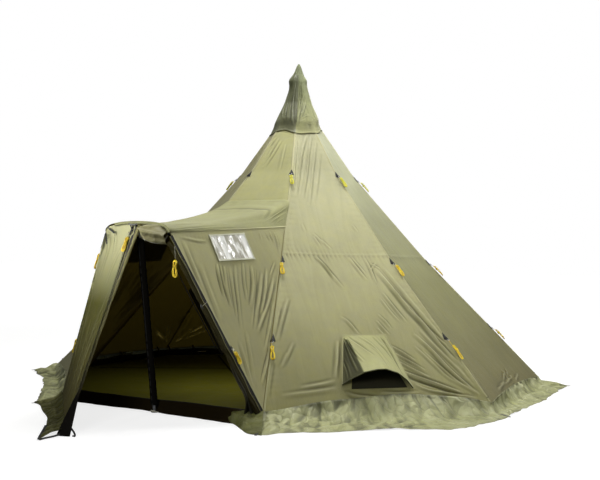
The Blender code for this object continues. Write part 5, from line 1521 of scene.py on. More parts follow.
def rolled_leaf():
    key = [np.array([0.352, -2.975, 1.478])] + [leg_pt(t, 0.040, -0.020) for t in (0.10, 0.22, 0.34, 0.46, 0.58, 0.70, 0.82, 0.92, 0.985)]
    line = spline(key, 150)
    n, seg = len(line), 40
    t = np.linspace(0, 1, n)
    wide = (0.019 + 0.012 * t + 0.010 * smooth01((t - 0.45) / 0.3)) * (1 - 0.35 * smooth01((t - 0.90) / 0.10))
    thick = 0.014 + 0.008 * t
    T_ = unit(np.gradient(line, axis=0))
    side = unit(LEG_IN - T_ * (T_ @ LEG_IN)[:, None])
    nrm = np.cross(T_, side)
    ang = np.linspace(0, 2 * np.pi, seg, endpoint=False)
    rings = []
    for i in range(n):
        tw = 5.5 * t[i] + 0.4 * math.sin(9 * t[i])
        q = ang
        lobes = 1 + 0.16 * np.cos(3 * (q - tw)) + 0.10 * np.cos(7 * q + 11 * t[i] + 2 * math.sin(14 * t[i])) + 0.05 * np.cos(13 * q - 30 * t[i])
        pinch = 1 - 0.30 * math.exp(-((t[i] - 0.36) / 0.012) ** 2) - 0.26 * math.exp(-((t[i] - 0.66) / 0.012) ** 2)
        rings.append(line[i] + (np.cos(q) * lobes)[:, None] * side[i] * wide[i] * pinch + (np.sin(q) * lobes)[:, None] * nrm[i] * thick[i] * pinch)
    V_ = np.array(rings)
    f = [tuple(x) for x in grid_faces(n, seg, wrap=True)]
    f += [tuple(range(seg - 1, -1, -1)), tuple((n - 1) * seg + k for k in range(seg))]
    s = t * length_of(line)
    uv = np.stack([np.broadcast_to(ang / 6.283 * 0.2, (n, seg)), np.broadcast_to(s[:, None], (n, seg))], -1)
    ob = make_mesh("door_right_roll", V_.reshape(-1, 3), f, uv.reshape(-1, 2), MAT["roll"])
    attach(ob, ROOT)
    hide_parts("door_right_rolled")
    # bunched top corner under the bow
    nu, nv = 90, 60
    u = np.linspace(0, 1, nu)[None, :]
    v = np.linspace(0, 1, nv)[:, None]
    top = spline([(0.060, -2.942, 1.620), (0.150, -2.948, 1.634), (0.240, -2.948, 1.626), (0.322, -2.942, 1.578)], nu)
    low = spline([(0.078, -2.985, 1.560), (0.140, -3.015, 1.502), (0.250, -3.020, 1.470), (0.352, -2.985, 1.462)], nu)
    P = top[None] * (1 - v[..., None]) + low[None] * v[..., None]
    belly = np.sin(np.pi * v) ** 0.7 * (0.050 + 0.016 * np.sin(np.pi * u))
    pl = np.sin(v * 2 * np.pi * 2.3 + 3.0 * u * (1 - v) + 1.8 * fbm(u * 2.5, v * 2, 121, 2))
    pl = np.sign(pl) * np.abs(pl) ** 0.75
    P = P + np.array([0.05, -1.0, 0.20]) * (belly + 0.014 * pl * np.sin(np.pi * v) ** 0.5 * (1.1 - 0.5 * u)
                                           + 0.006 * ridged(u * 5, v * 4 + u * 3, 122, 3))[..., None]
    ob = sheet_from("door_right_bunch", P, MAT["bunch"], np.stack([u * 0.35 + 0 * v, v * 0.2 + 0 * u], -1), inner=MAT["dark"], out=(0, -1.0, 0.1))
    cloth_piece(ob, ROOT, (), (0.42, 0.24), min(area_of(P) * 0.95, 0.1))
    # zip half left on the leg: black tape with a pale cord of piping on both sides
    t = np.linspace(0.02, 0.985, 140)
    obs = []
    L1 = leg_pt(t, 0.012, 0.002)
    nn = unit(WN * 0.6 + LEG_IN * 0.8)
    obs.append(ribbon("za", L1, 0.026, nn, MAT["zip"], lift=0.004))
    obs.append(tube_mesh("zb", leg_pt(t, 0.024, 0.006), 0.0026, MAT["dark_rod"], 6))
    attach(join("zip_right_leg", obs), ROOT)
    wob = 0.004 * np.sin(t * 23) + 0.003 * np.sin(t * 51 + 1)
    L2 = A + LEGV * t[:, None] + LEG_IN * (0.034 + wob)[:, None] + WN * 0.006
    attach(tube_mesh("piping_right_leg", L2, 0.0028, MAT["piping"], 8), ROOT)
    L3 = leg_pt(t, -0.006, 0.003)
    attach(ribbon("leg_seam_right", L3, 0.014, WN, MAT["ridge"], lift=0.003), ROOT)
    # second zip edge of the folded-back leaf, inside
    L4 = A + LEGV * t[:, None] + LEG_IN * (0.092 + 0.5 * wob + 0.02 * np.sin(np.pi * t))[:, None] - WN * 0.040
    keep = (t > 0.16) & (t < 0.62)
    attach(ribbon("zip_edge_folded_leaf", L4[keep], 0.009, nn, MAT["sleeve"]), ROOT)
    # the foot of the leaf, let down in a fan between the leg and the sill
    a3, b3 = np.linspace(0, 1, 70)[:, None], np.linspace(0, 1, 40)[None, :]
    E_out = leg_pt(0.64 + 0.352 * a3[:, 0], 0.010, -0.012)[:, None]
    E_in = spline([leg_pt(np.array([0.64]), 0.050, -0.020).reshape(3), leg_pt(np.array([0.78]), 0.100, -0.020).reshape(3),
                   leg_pt(np.array([0.90]), 0.125, -0.010).reshape(3), np.array([0.885, -2.612, 0.020])], 70)[:, None]
    FN = E_out * (1 - b3[..., None]) + E_in * b3[..., None]
    rip = np.sin(b3 * 2 * np.pi * 2.4 + 1.2 * a3) * np.sin(np.pi * b3) ** 0.5
    FN = FN + np.array([0.15, -1.0, 0.1]) * ((0.012 + 0.012 * a3) * rip + 0.006 * ridged(b3 * 4, a3 * 5, 127, 3) + 0.010 * np.sin(np.pi * b3))[..., None]
    FN[..., 2] = np.maximum(FN[..., 2], 0.012)
    # near-black cloth as painted shade for the fan, with painted shade in its ripples
    ob = sheet_from("door_right_fan", FN, MAT["dark"], np.stack([b3 * 0.2 + 0 * a3, a3 * 0.6 + 0 * b3], -1), inner=MAT["dark"], out=(0.15, -1.0, 0.1),
                    painted_shading=crease(rip * 0.01 + 0 * a3, 3, 0.006))
    cloth_piece(ob, ROOT, (), (0.66, 0.34), min(area_of(FN), 0.20))
    # folded leaf behind the leg, seen from outside as a brown face
    t2 = np.linspace(0.30, 0.66, 50)[:, None]
    w2 = np.linspace(0, 1, 24)[None, :]
    FP = A + LEGV * t2[..., None] + LEG_IN * (0.085 - 0.25 * w2)[..., None] + np.array([-0.30, 0.30, 0]) * w2[..., None] - WN * 0.045
    FP = FP + WN * (0.012 * np.sin(w2 * 9 + 3 * t2) * w2)[..., None]
    ob = sheet_from("door_right_folded_part", FP, MAT["dark"], np.stack([w2 * 0.4 + 0 * t2, t2 * 1.8 + 0 * w2], -1))
    cloth_piece(ob, ROOT, (), (0.62, 0.50), min(area_of(FP), 0.30))


rolled_leaf()

# ---------------------------------------------------------------- sleeve, sill, groundsheet
PD = unit(POLE_TOP - POLE_BASE)
PL = float(np.linalg.norm(POLE_TOP - POLE_BASE))


def sleeve():
    n, seg = 170, 36
    s = np.linspace(0.070, PL - 0.080, n)
    q = np.linspace(0, 2 * np.pi, seg, endpoint=False)
    e1 = np.array([1.0, 0, 0])
    e2 = np.cross(PD, e1)
    r = 0.0300 + 0.0022 * fbm(q[None, :] / 2, s[:, None] * 7, 131, 3) + 0.0012 * np.sin(s[:, None] * 95 + 2 * np.sin(q[None, :]))
    r = np.maximum(r, 0.0268)
    c = POLE_BASE + PD * s[:, None]
    P = c[:, None] + (np.cos(q)[None, :] * r)[..., None] * e1 + (np.sin(q)[None, :] * r)[..., None] * e2
    ob = sheet_from("porch_sleeve_cloth", P, MAT["sleeve"], np.stack([np.broadcast_to(q * 0.03, r.shape), np.broadcast_to(s[:, None], r.shape)], -1), wrap=True)
    cloth_piece(ob, ROOT, ["porch_pole_sleeve"], (1.48, 0.098), 0.139)   # lying flat, doubled
    # its seam allowance at the back and the strap under the foot
    L = POLE_BASE + PD * s[:, None] + e2 * 0.0
    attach(ribbon("sleeve_seam", L + np.array([0.0, -0.030, 0.0]), 0.010, np.array([0, -1.0, 0.1]), MAT["black"]), ROOT)


sleeve()


def sill():
    nx, nz = 150, 22
    x = np.linspace(-1.045, 1.045, nx)[None, :]
    t = np.linspace(0, 1, nz)[:, None]
    top = 0.104 + 0.004 * np.sin(x * 5) + 0.003 * fbm(x * 4, 0 * x, 141, 2)
    z = 0.002 + (top - 0.002) * t
    y = -2.578 - 0.012 * (1 - t) ** 2 + 0.007 * fbm(x * 3, t * 1.5, 142, 3) * (0.4 + t) + 0.003 * np.sin(x * 31 + 3 * t) * (1 - t)
    P = np.stack([x + 0 * t, y - (0.014 + 0.095 * smooth01((x + 0.35) / 1.2)) * (1 - t) ** 1.2, z + 0 * x], -1)
    flare = np.array([0, -1.0, 0]) * (0.022 * np.clip(0.12 - t, 0, 1) / 0.12 * (0.6 + 0.4 * np.sin(x * 9)))[..., None]
    P = P + flare
    ob = sheet_from("sill_cloth", P, MAT["sill"], np.stack([x + 0 * t, z + 0 * x], -1), flip=True)
    cloth_piece(ob, ROOT, ["porch_sill"], (2.10, 0.115), min(area_of(P), 0.24))
    line = P[-1]
    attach(tube_mesh("sill_binding", line, 0.0032, MAT["black"], 8), ROOT)


sill()


def octagon_r(theta, apothem):
    k = np.mod(theta, math.pi / 4)
    k = np.where(k > math.pi / 8, k - math.pi / 4, k)
    return apothem / np.cos(k)


def groundsheet():
    nt, nr = 256, 90
    th = np.linspace(0, 2 * np.pi, nt, endpoint=False)[None, :]
    q = np.linspace(0.0, 1, nr)[:, None] ** 0.8
    ap = R_HEM * COS - 0.034
    r = octagon_r(th, ap) * (q * 0.999 + 0.001)
    x, y = r * np.sin(th), -r * np.cos(th)
    z = 0.0045 + 0.004 * fbm(x * 1.7, y * 1.7, 151, 3) + 0.0055 * np.clip(ridged(x * 1.1 + 5, y * 1.3, 152, 3), 0, 1) ** 2
    z = np.where(q > 0.97, 0.004, z)
    z = np.maximum(z, 0.0035)
    P = np.stack([x, y, z], -1)
    ob = sheet_from("groundsheet_cloth", P, MAT["ground"], np.stack([x, y], -1), wrap=True, flip=True)
    cloth_piece(ob, ROOT, ["groundsheet"], (5.12, 5.12), area_of(P) * 0.99)
    # upturned rim on the seven closed sides
    n = 330
    a = np.radians(np.linspace(23.5, 336.5, n))[None, :]
    t = np.linspace(0, 1, 10)[:, None]
    rr = octagon_r(a, ap) - 0.003 - 0.068 * t * 0.70
    h = 0.0010 + t * (0.0915 + 0.008 * np.sin(a * 23) + 0.006 * fbm(a * 9, 0 * a, 155, 2))
    rr = rr + 0.012 * fbm(a * 14, t * 1.5, 156, 2) * t
    P = np.stack([rr * np.sin(a), -rr * np.cos(a), h], -1)
    ob = sheet_from("groundsheet_rim", P, MAT["rim"], np.stack([a * 2.6 + 0 * t, t * 0.1 + 0 * a], -1))
    cloth_piece(ob, ROOT, (), (15.0, 0.115), min(area_of(P), 1.7))
    # seams of the sheet and the dark clips of the rim
    for nm, p, q2 in (("floor_seam_a", (-1.90, 1.37), (0.10, -1.20)), ("floor_seam_b", (-2.35, -0.60), (1.60, 1.95))):
        s = np.linspace(0, 1, 60)[:, None]
        L = np.array([p[0], p[1], 0.0]) * (1 - s) + np.array([q2[0], q2[1], 0.0]) * s
        xx, yy = L[:, 0], L[:, 1]
        L[:, 2] = 0.0115
        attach(ribbon(nm, L, 0.022, np.array([0, 0, 1.0]), MAT["sill"]), ROOT)
    obs = []
    for az in (-107.4, -112.5, -119.5, -135.0, -157.5, 157.5, 135, 112.5, 90, 67.5, -90, -67.5, -45):
        t0 = math.radians(az)
        rad = np.array([math.sin(t0), -math.cos(t0), 0])
        R0 = float(octagon_r(t0, ap)) - 0.02
        L = spline([rad * (R0 - 0.05) + np.array([0, 0, 0.075]), rad * (R0 - 0.02) + np.array([0, 0, 0.115]), rad * (R0 + 0.01) + np.array([0, 0, 0.150])], 8)
        obs.append(ribbon("k%d" % len(obs), L, 0.026, -rad + np.array([0, 0, 0.3]), MAT["black"]))
    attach(join("rim_straps", obs), ROOT)
    obs = []
    for az in (-121.7, -130.8):
        t0 = math.radians(az)
        rad = np.array([math.sin(t0), -math.cos(t0), 0])
        tan = np.array([math.cos(t0), math.sin(t0), 0])
        R0 = float(octagon_r(t0, ap)) - 0.085
        L = spline([rad * R0 + tan * 0.07 + np.array([0, 0, 0.052]), rad * (R0 - 0.004) + np.array([0, 0, 0.055]), rad * R0 - tan * 0.07 + np.array([0, 0, 0.052])], 10)
        obs.append(ribbon("w%d" % len(obs), L, 0.012, -rad + np.array([0, 0, 0.4]), MAT["tag"]))
    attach(join("rim_tabs", obs), ROOT)


groundsheet()

# ---------------------------------------------------------------- vent hood, its dark inside and the flap
HEM_MID = rotz(np.array([0, -R_HEM * COS, Z_HEM]), 45)
EX = rotz(np.array([1.0, 0, 0]), 45)
EY = unit(rotz(np.array([0, (R_HEM - RINGS["lower"][0]) * COS, RINGS["lower"][1] - Z_HEM]), 45))
EN = np.cross(EX, EY)
if EN[2] < 0:
    EN = -EN


def slope(u, v, n):
    u, v, n = (np.asarray(a, float)[..., None] for a in (u, v, n))
    return HEM_MID + EX * u + EY * v + EN * n


def hood():
    nu, nv = 150, 120
    f = np.linspace(-1, 1, nu)[None, :]
    s = np.linspace(0, 1, nv)[:, None]
    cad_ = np.array([-1.0, -0.80, -0.45, -0.10, 0.10, 0.45, 0.75, 1.0])
    lip_u = np.array([-0.318, -0.268, -0.150, -0.030, 0.045, 0.176, 0.275, 0.345])
    lip_v = np.array([0.250, 0.256, 0.270, 0.278, 0.282, 0.276, 0.240, 0.196])
    lip_n = np.array([0.006, 0.070, 0.158, 0.186, 0.182, 0.128, 0.066, 0.006])
    top_u = np.array([-0.183, -0.172, -0.142, -0.020, 0.060, 0.172, 0.222, 0.243])
    smooth = np.exp(-np.linspace(-2.4, 2.4, 9) ** 2)
    smooth /= smooth.sum()

    def along(vals):
        q = np.interp(np.linspace(-1 - 8 / (nu - 1), 1 + 8 / (nu - 1), nu + 8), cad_, vals)
        q[:4] = 2 * q[4] - q[8:4:-1]
        q[-4:] = 2 * q[-5] - q[-6:-10:-1]
        return np.convolve(q, smooth, "valid")[None, :]

    a = np.abs(f)
    s1 = s ** 1.04
    U = along(top_u) * (1 - s1) + along(lip_u) * s1
    v = VENT["v1"] * (1 - s) + along(lip_v) * s
    n = 0.006 + (along(lip_n) - 0.006) * s ** 1.02
    D = folds(f + 0 * s, s + 0 * f, [
        ([(-0.93, 0.03), (-0.72, 0.35), (-0.58, 0.92)], 0.05, 0.018), ([(-0.70, 0.02), (-0.52, 0.35), (-0.34, 0.75)], 0.045, 0.014),
        ([(-0.45, 0.02), (-0.20, 0.30), (0.02, 0.62)], 0.045, -0.009), ([(-0.15, 0.02), (0.12, 0.35), (0.32, 0.85)], 0.04, 0.008),
        ([(0.25, 0.03), (0.42, 0.30), (0.60, 0.70)], 0.05, 0.009), ([(0.55, 0.05), (0.68, 0.40), (0.72, 0.95)], 0.05, 0.014),
        ([(0.02, 0.30), (0.20, 0.62), (0.26, 0.96)], 0.035, 0.006), ([(-0.96, 0.50), (-0.84, 0.75), (-0.80, 0.98)], 0.04, -0.012),
        ([(-0.90, 0.02), (-0.60, 0.16), (-0.40, 0.30)], 0.03, 0.010), ([(0.50, 0.02), (0.62, 0.18), (0.80, 0.40)], 0.03, 0.010)])
    D = D * np.clip(s / 0.06, 0, 1) + 0.004 * fbm(f * 2.5, s * 2.2, 161, 3) * np.clip(s / 0.1, 0, 1) * np.clip((1 - a) / 0.05, 0, 1)
    P = slope(U, v + 0 * f, n + D)
    uv = np.stack([U, v + 0 * f], -1)
    # painted shade: the left gusset is darkened through the fold attribute, and the creases get painted shade and
    # highlight
    dark = 1.9 * smooth01((-0.44 - f) / 0.06) * smooth01((s - 0.06) / 0.22) * (1 - 0.25 * smooth01((-0.88 - f) / 0.08))
    ob = sheet_from("hood_cloth", P, MAT["hood"], uv, flip=True, painted_shading=np.clip(crease(D, 3, 0.006) * (1 + 0.6 * (dark > 0.5)) + dark, -0.8, 2.0))
    cloth_piece(ob, ROOT, ["vent_hood"], (0.82, 0.66), min(area_of(P), 0.53))
    # lip: rolled hem with a stiff dark rod
    lip = P[-1]
    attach(tube_mesh("hood_lip", lip, 0.0052, MAT["hood_dark"], 8), ROOT)
    # inside of the hood: near-black cloth, one centimetre under the outside, painted shade for the hollow under the
    # hood
    Nn = grid_normals(P)
    Nn = np.where((Nn @ EN)[..., None] < 0, -Nn, Nn)
    Q = P - Nn * 0.006
    ob = sheet_from("hood_lining", Q[4:, 3:-3], MAT["dark"], uv[4:, 3:-3])
    cloth_piece(ob, ROOT, (), (0.80, 0.64), min(area_of(Q[4:, 3:-3]), 0.50))
    # side seams
    for k, nm in ((0, "hood_seam_left"), (-1, "hood_seam_right")):
        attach(ribbon(nm, P[:, k] + EN * 0.002, 0.014, EN, MAT["ridge"]), ROOT)
    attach(ribbon("hood_seam_top", P[0] + EN * 0.003, 0.012, EN, MAT["ridge"]), ROOT)
    # dark mesh behind the opening, and frame of the opening
    w0, w1, v0, v1 = 0.262, 0.205, 0.215, 0.405
    aa = np.linspace(-1, 1, 40)[None, :]
    bb = np.linspace(0, 1, 24)[:, None]
    M_ = slope(VENT["u"] + aa * (w0 + (w1 - w0) * bb + 0.006), v0 - 0.006 + (v1 - v0 + 0.012) * bb + 0 * aa, -0.004 - 0.010 * (1 - aa ** 2) * np.sin(np.pi * bb))
    ob = sheet_from("vent_mesh", M_, MAT["dark"], np.stack([aa * 0.26 + 0 * bb, bb * 0.2 + 0 * aa], -1), flip=True)
    cloth_piece(ob, ROOT, (), (0.56, 0.22), min(area_of(M_), 0.12))


hood()


def vent_flap():
    th = 0.740
    hinge = slope(VENT["u"] - 0.005, 0.438, -0.010).reshape(3)
    n, m = 50, 26
    a = np.linspace(-1, 1, n)[None, :]
    b = np.linspace(0, 1, m)[:, None]
    half = 0.220 + 0.060 * b
    drop = 0.236 * b
    c, s = math.cos(th), math.sin(th)
    # turned about EX so that it hangs
    down = -EY * c - EN * s
    if down[2] > -0.9:
        down = -EY * c + EN * s
    if down[2] > -0.9:
        down = np.array([0, 0, -1.0])
    nn = np.cross(EX, down)
    bow = 0.010 * np.sin(np.pi * b) * (1 - a * a) + 0.004 * fbm(a * 2, b * 2, 171, 2) * b
    P = hinge + EX * (a * half)[..., None] + down * (drop + 0 * a)[..., None] + nn * (bow * 1.0)[..., None]
    ob = sheet_from("vent_flap_cloth", P, MAT["under"], np.stack([a * half, drop + 0 * a], -1))
    cloth_piece(ob, "vent_flap", ["vent_flap"], (0.56, 0.24), area_of(P))


vent_flap()

# ---------------------------------------------------------------- guy-out patches, rings and hanks of line
def frame_of(down, out):
    down = unit(np.asarray(down, float))
    out = unit(np.asarray(out, float) - down * (np.asarray(out, float) @ down))
    return np.cross(down, out), down, out


CORD_D = 0.0034
HANKS = []


def hank_line(seed, L=0.150, lead=0.012, turns=12, lay=0.0125, tail=0.060, curl=0.0, slim=1.0):
    """Centre line of a tied hank in its own frame: x across, y down, z off the cloth; the ring is at the origin."""
    r = np.random.default_rng(seed)
    rr = np.array([0.0098, 0.0132, 0.0166, 0.0200])
    order, z = [], []
    per = len(rr)
    for k in range(turns):
        layer, i = divmod(k, per)
        order.append(rr[i] if layer % 2 == 0 else rr[per - 1 - i])
        z.append(lay + (layer - 1) * 0.0036)
    y0 = lead + 0.004
    pts = [(0, 0, 0.002), (0.001, lead * 0.35, 0.004), (0.003, lead * 0.8 + 0.002, 0.5 * (0.004 + z[0]))]
    jit = r.normal(0, 0.0009, (turns, 4))
    for k in range(turns):
        R, zz = order[k], z[k]
        Rn, zn = (order[k + 1], z[k + 1]) if k + 1 < turns else (order[k], z[k])
        yt, yb = y0 + 0.020 + jit[k, 0], y0 + L - 0.020 + jit[k, 1]
        for t in (0.0, 0.2, 0.4, 0.6, 0.8):
            pts.append((R, yt + (yb - yt) * t, zz))
        for t in np.linspace(0, 1, 9)[:-1]:
            a = math.pi * t
            pts.append((R * math.cos(a), yb + R * math.sin(a), zz))
        for t in (0.0, 0.2, 0.4, 0.6, 0.8):
            pts.append((-R, yb + (yt - yb) * t, zz))
        for t in np.linspace(0, 1, 9)[:-1]:
            a = math.pi * t
            q = R + (Rn - R) * t
            pts.append((-q * math.cos(a) if True else 0, yt - q * math.sin(a), zz + (zn - zz) * t))
    P = np.array(pts)
    yp = y0 + 0.34 * L
    body = np.arange(len(P)) >= 3
    g = np.exp(-((P[:, 1] - yp) / (0.18 * L)) ** 2) * body
    P[:, 0] *= 1 - 0.56 * g
    P[:, 2] = lay + (P[:, 2] - lay) * (1 + 0.75 * g) * np.where(body, 1, 1) if False else np.where(body, lay + (P[:, 2] - lay) * (1 + 0.75 * g), P[:, 2])
    P[:, 0] *= slim
    # wrapped turns that tie it, then the tail in front
    w = []
    RW = 0.0128
    nw = 4
    start = (0.004, y0 + 0.012, lay + RW)
    w.append(start)
    for t in np.linspace(0, 1, 14 * nw + 1):
        a = 2 * math.pi * nw * t + math.pi / 2
        w.append((RW * math.cos(a) * 1.05, yp - 0.0075 + 0.0150 * t, lay + RW * math.sin(a)))
    ytail = yp + 0.0105
    for t in np.linspace(0.15, 1, 9):
        w.append((0.004 * math.sin(3.0 * t) + curl * t * t, ytail + tail * t, lay + RW * (1 - 0.35 * t)))
    P = np.vstack([P, np.array(w)])
    # the whole hank bends a little
    y = P[:, 1]
    amp = r.uniform(-1, 1) * 0.005
    q = np.clip((y - y0) / L, 0, 1.4)
    P[:, 0] += amp * np.sin(np.pi * q) + r.uniform(-1, 1) * 0.006 * q ** 2
    P[:, 2] += 0.002 * np.sin(np.pi * q)
    return P


def curve_object(name, P, d, mat, shift=True):
    cu = bpy.data.curves.new(name, "CURVE")
    cu.dimensions = "3D"
    cu.bevel_depth = d / 2
    cu.bevel_resolution = 2
    cu.use_fill_caps = True
    sp = cu.splines.new("POLY")
    sp.points.add(len(P) - 1)
    Q = np.asarray(P) + (SHIFT if shift else 0)
    sp.points.foreach_set("co", np.column_stack([Q, np.ones(len(Q))]).ravel())
    sp.use_smooth = True
    cu.materials.append(mat)
    ob = bpy.data.objects.new(name, cu)
    scene.collection.objects.link(ob)
    return ob


def trefoil(name, centre, size, d, mat, axes):
    t = np.linspace(0, 2 * np.pi, 60, endpoint=False)
    K = np.stack([np.sin(t) + 2 * np.sin(2 * t), np.cos(t) - 2 * np.cos(2 * t), -np.sin(3 * t)], -1) * size / 3
    K = centre + K[:, :1] * axes[0] + K[:, 1:2] * axes[1] + K[:, 2:] * axes[2]
    n, seg = len(K), 8
    T = unit(np.roll(K, -1, 0) - np.roll(K, 1, 0))
    e = unit(np.cross(T, axes[2] + 0.31 * axes[0]))
    b = np.cross(T, e)
    q = np.linspace(0, 2 * np.pi, seg, endpoint=False)
    R = K[:, None] + d / 2 * (np.cos(q)[None, :, None] * e[:, None] + np.sin(q)[None, :, None] * b[:, None])
    f = []
    for i in range(n):
        for j in range(seg):
            f.append((i * seg + j, i * seg + (j + 1) % seg, ((i + 1) % n) * seg + (j + 1) % seg, ((i + 1) % n) * seg + j))
    return make_mesh(name, R.reshape(-1, 3), f, None, mat)


def ring_mesh(name, centre, axes, R=0.0125, r=0.0017, mat="steel"):
    """D-shaped ring: straight bar at the top where the webbing holds it."""
    t = np.linspace(0, 2 * np.pi, 40, endpoint=False)
    x, y = R * np.sin(t), -R * np.cos(t)
    y = np.maximum(y, -0.55 * R)
    K = centre + x[:, None] * axes[0] + y[:, None] * axes[1]
    n, seg = len(K), 8
    T = unit(np.roll(K, -1, 0) - np.roll(K, 1, 0))
    e = np.broadcast_to(axes[2], T.shape)
    b = np.cross(T, e)
    q = np.linspace(0, 2 * np.pi, seg, endpoint=False)
    RR = K[:, None] + r * (np.cos(q)[None, :, None] * e[:, None] + np.sin(q)[None, :, None] * b[:, None])
    f = []
    for i in range(n):
        for j in range(seg):
            f.append((i * seg + j, i * seg + (j + 1) % seg, ((i + 1) % n) * seg + (j + 1) % seg, ((i + 1) % n) * seg + j))
    return make_mesh(name, RR.reshape(-1, 3), f, None, MAT[mat])


def hank(name, ring, down, out, nodes=(), body=ROOT, seed=0, colour="yellow", **kw):
    side, down, out = frame_of(down, out)
    axes = (side, down, out)
    Pl = hank_line(seed, **kw)
    P = ring + Pl[:, :1] * side + Pl[:, 1:2] * down + Pl[:, 2:] * out
    L = length_of(P)
    ob = curve_object(name, P, CORD_D, MAT[colour])
    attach(ob, body)
    if nodes:
        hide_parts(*nodes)
    kn = trefoil(name + "_knot", P[-1] + down * 0.002, 0.0052, CORD_D, MAT[colour], axes)
    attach(kn, body)
    HANKS.append((name, L))
    return ob


def ridge_patch(tag, az, z_ring, size=1.0):
    """Black triangular patch over a ridge with a webbing loop and a D-ring; returns the ring's place and frame."""
    t = math.radians(az)
    r_at = lambda z: float(apo(v_at_z(z)) / COS)
    up = np.array([r_at(z_ring) * math.sin(t), -r_at(z_ring) * math.cos(t), z_ring])
    zl = z_ring - 0.25
    lo = np.array([r_at(zl) * math.sin(t), -r_at(zl) * math.cos(t), zl])
    rad = np.array([math.sin(t), -math.cos(t), 0])
    side, down, out = frame_of(lo - up, rad)
    dr, dl = rotz(np.array([1.0, 0, 0]), az + 22.5), -rotz(np.array([1.0, 0, 0]), az - 22.5)
    if z_ring < 1.6 and az == 22.5:
        dl = -E1
    if z_ring < 1.6 and az == 337.5:
        dr = -E1 * np.array([-1.0, 1, 1])
    n, m = 16, 9
    s = np.linspace(0, 1, n)[:, None, None]
    f = np.linspace(-1, 1, m)[None, :, None]
    w = 0.033 * size * s ** 0.9 + 0.001
    wing = np.where(f > 0, dr * f, dl * -f) * w
    P = up + down * (0.088 * size * s + 0.008 * (1 - np.abs(f)) * s) + wing + out * (0.0058 - 0.0010 * np.abs(f) + 0.0012 * np.sin(f * 5 + s * 7))
    uv = np.stack([(f * w)[..., 0], (s * 0.09 + 0 * f)[..., 0]], -1)
    a = sheet_from("patch_" + tag, P, MAT["black"], uv, inner=MAT["black"], out=out, thick=0.0014)
    c = up + down * 0.0965 * size + out * 0.0105
    ring = ring_mesh("ring_" + tag, c + out * 0.001, (side, unit(down + out * 0.18), unit(out - down * 0.18)))
    loop = spline([up + down * 0.058 * size + out * 0.0085, up + down * 0.080 * size + out * 0.0115, c - down * 0.0045 + out * 0.0028,
                   c - down * 0.0085 + out * 0.0002, up + down * 0.076 * size + out * 0.0075], 16)
    wb = ribbon("loop_" + tag, loop, 0.015, np.broadcast_to(out, loop.shape), MAT["black"], thick=0.0014)
    ob = join("guy_patch_" + tag, [a, wb])
    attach(ob, ROOT)
    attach(ring, ROOT)
    return c + down * 0.010, side, down, out


Z_UP, Z_MI, Z_LO = RINGS["upper"][1], RINGS["middle"][1], RINGS["lower"][1]
seed = 200
for letter, az in (("a", 22.5), ("b", 67.5), ("c", 112.5), ("d", 157.5), ("e", 202.5), ("f", 247.5), ("h", 292.5), ("g", 337.5)):
    for level, z in (("upper", Z_UP), ("middle", Z_MI), ("lower", Z_LO)):
        seed += 1
        tag = letter + "_" + level
        c, side, down, out = ridge_patch(tag, az, z, 1.0 if level != "upper" else 0.95)
        has = ["guyline_" + tag] if (letter in "abc" or tag == "h_upper") else []
        dn = down
        if letter == "a":
            dn = unit(down + rotz(np.array([1.0, 0, 0]), az) * 0.16)
        elif letter == "g":
            dn = unit(down - rotz(np.array([1.0, 0, 0]), az) * 0.16)
        if tag == "g_upper":
            continue
        if tag == "h_upper":
            dn = unit(down - rotz(np.array([1.0, 0, 0]), az) * 0.42)
        kw = dict(L=0.150, lead=0.010)
        if tag == "b_lower":
            kw = dict(L=0.170, lead=0.060, turns=8, slim=0.8)
        if tag == "a_lower":
            kw = dict(L=0.150, lead=0.045, curl=0.012, tail=0.075)
        if level == "upper":
            kw = dict(L=0.140, lead=0.006)
        hank("hank_" + tag, c, dn, out, has, ROOT, seed, "lime" if level == "upper" else "yellow", **kw)

# porch lines: two on each leg, one at the right shoulder, one on the left leaf
for nm, t0, sd, node in (("left_upper", 0.118, -1, "guyline_porch_left_upper"), ("left_lower", 0.650, -1, "guyline_porch_left_lower"),
                         ("right_lower", 0.650, 1, "guyline_porch_right_lower")):
    P0 = A + LEGV * t0 + (E1 * 0.038 + WN * 0.008 if sd > 0 else E1 * 0.012 + WN * 0.020)
    if sd > 0:
        P0 = P0 - E1 * 0.030
    dn, ot = unit(LEGV), WN
    s_ = np.linspace(0, 1, 12)[:, None, None]
    f_ = np.linspace(-1, 1, 7)[None, :, None]
    acr = np.cross(dn, ot)
    G = P0 - dn * 0.060 + dn * 0.062 * s_ + acr * f_ * (0.020 * s_ + 0.002) - ot * 0.003
    if sd < 0:
        P0, dn, ot, G = mirror(P0), mirror(dn), mirror(ot), mirror(G)
    patch = sheet_from("pt", G, MAT["black"], np.stack([(f_ * 0.02 + 0 * s_)[..., 0], (s_ * 0.06 + 0 * f_)[..., 0]], -1), inner=MAT["black"], out=ot)
    sde, dn2, ot2 = frame_of(dn, ot)
    lp = spline([P0 - dn2 * 0.022 + ot2 * 0.0006, P0 - dn2 * 0.008 + ot2 * 0.004, P0 + ot2 * 0.004, P0 + dn2 * 0.003 + ot2 * 0.0], 12)
    wb = ribbon("wb", lp, 0.014, np.broadcast_to(ot2, lp.shape), MAT["black"], thick=0.0014)
    ob = join("guy_patch_porch_" + nm, [patch, wb])
    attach(ob, ROOT)
    rg = ring_mesh("ring_porch_" + nm, P0 + dn2 * 0.010 + ot2 * 0.004, (sde, dn2, ot2), 0.0105)
    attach(rg, ROOT)
    seed += 1
    kw = dict(L=0.150, lead=0.010)
    if nm == "right_lower":
        kw = dict(L=0.112, lead=0.010, curl=0.02, tail=0.05)
    hank("hank_porch_" + nm, P0 + dn2 * 0.020 + ot2 * 0.001, dn2, ot2, [node], ROOT, seed, "yellow", **kw)

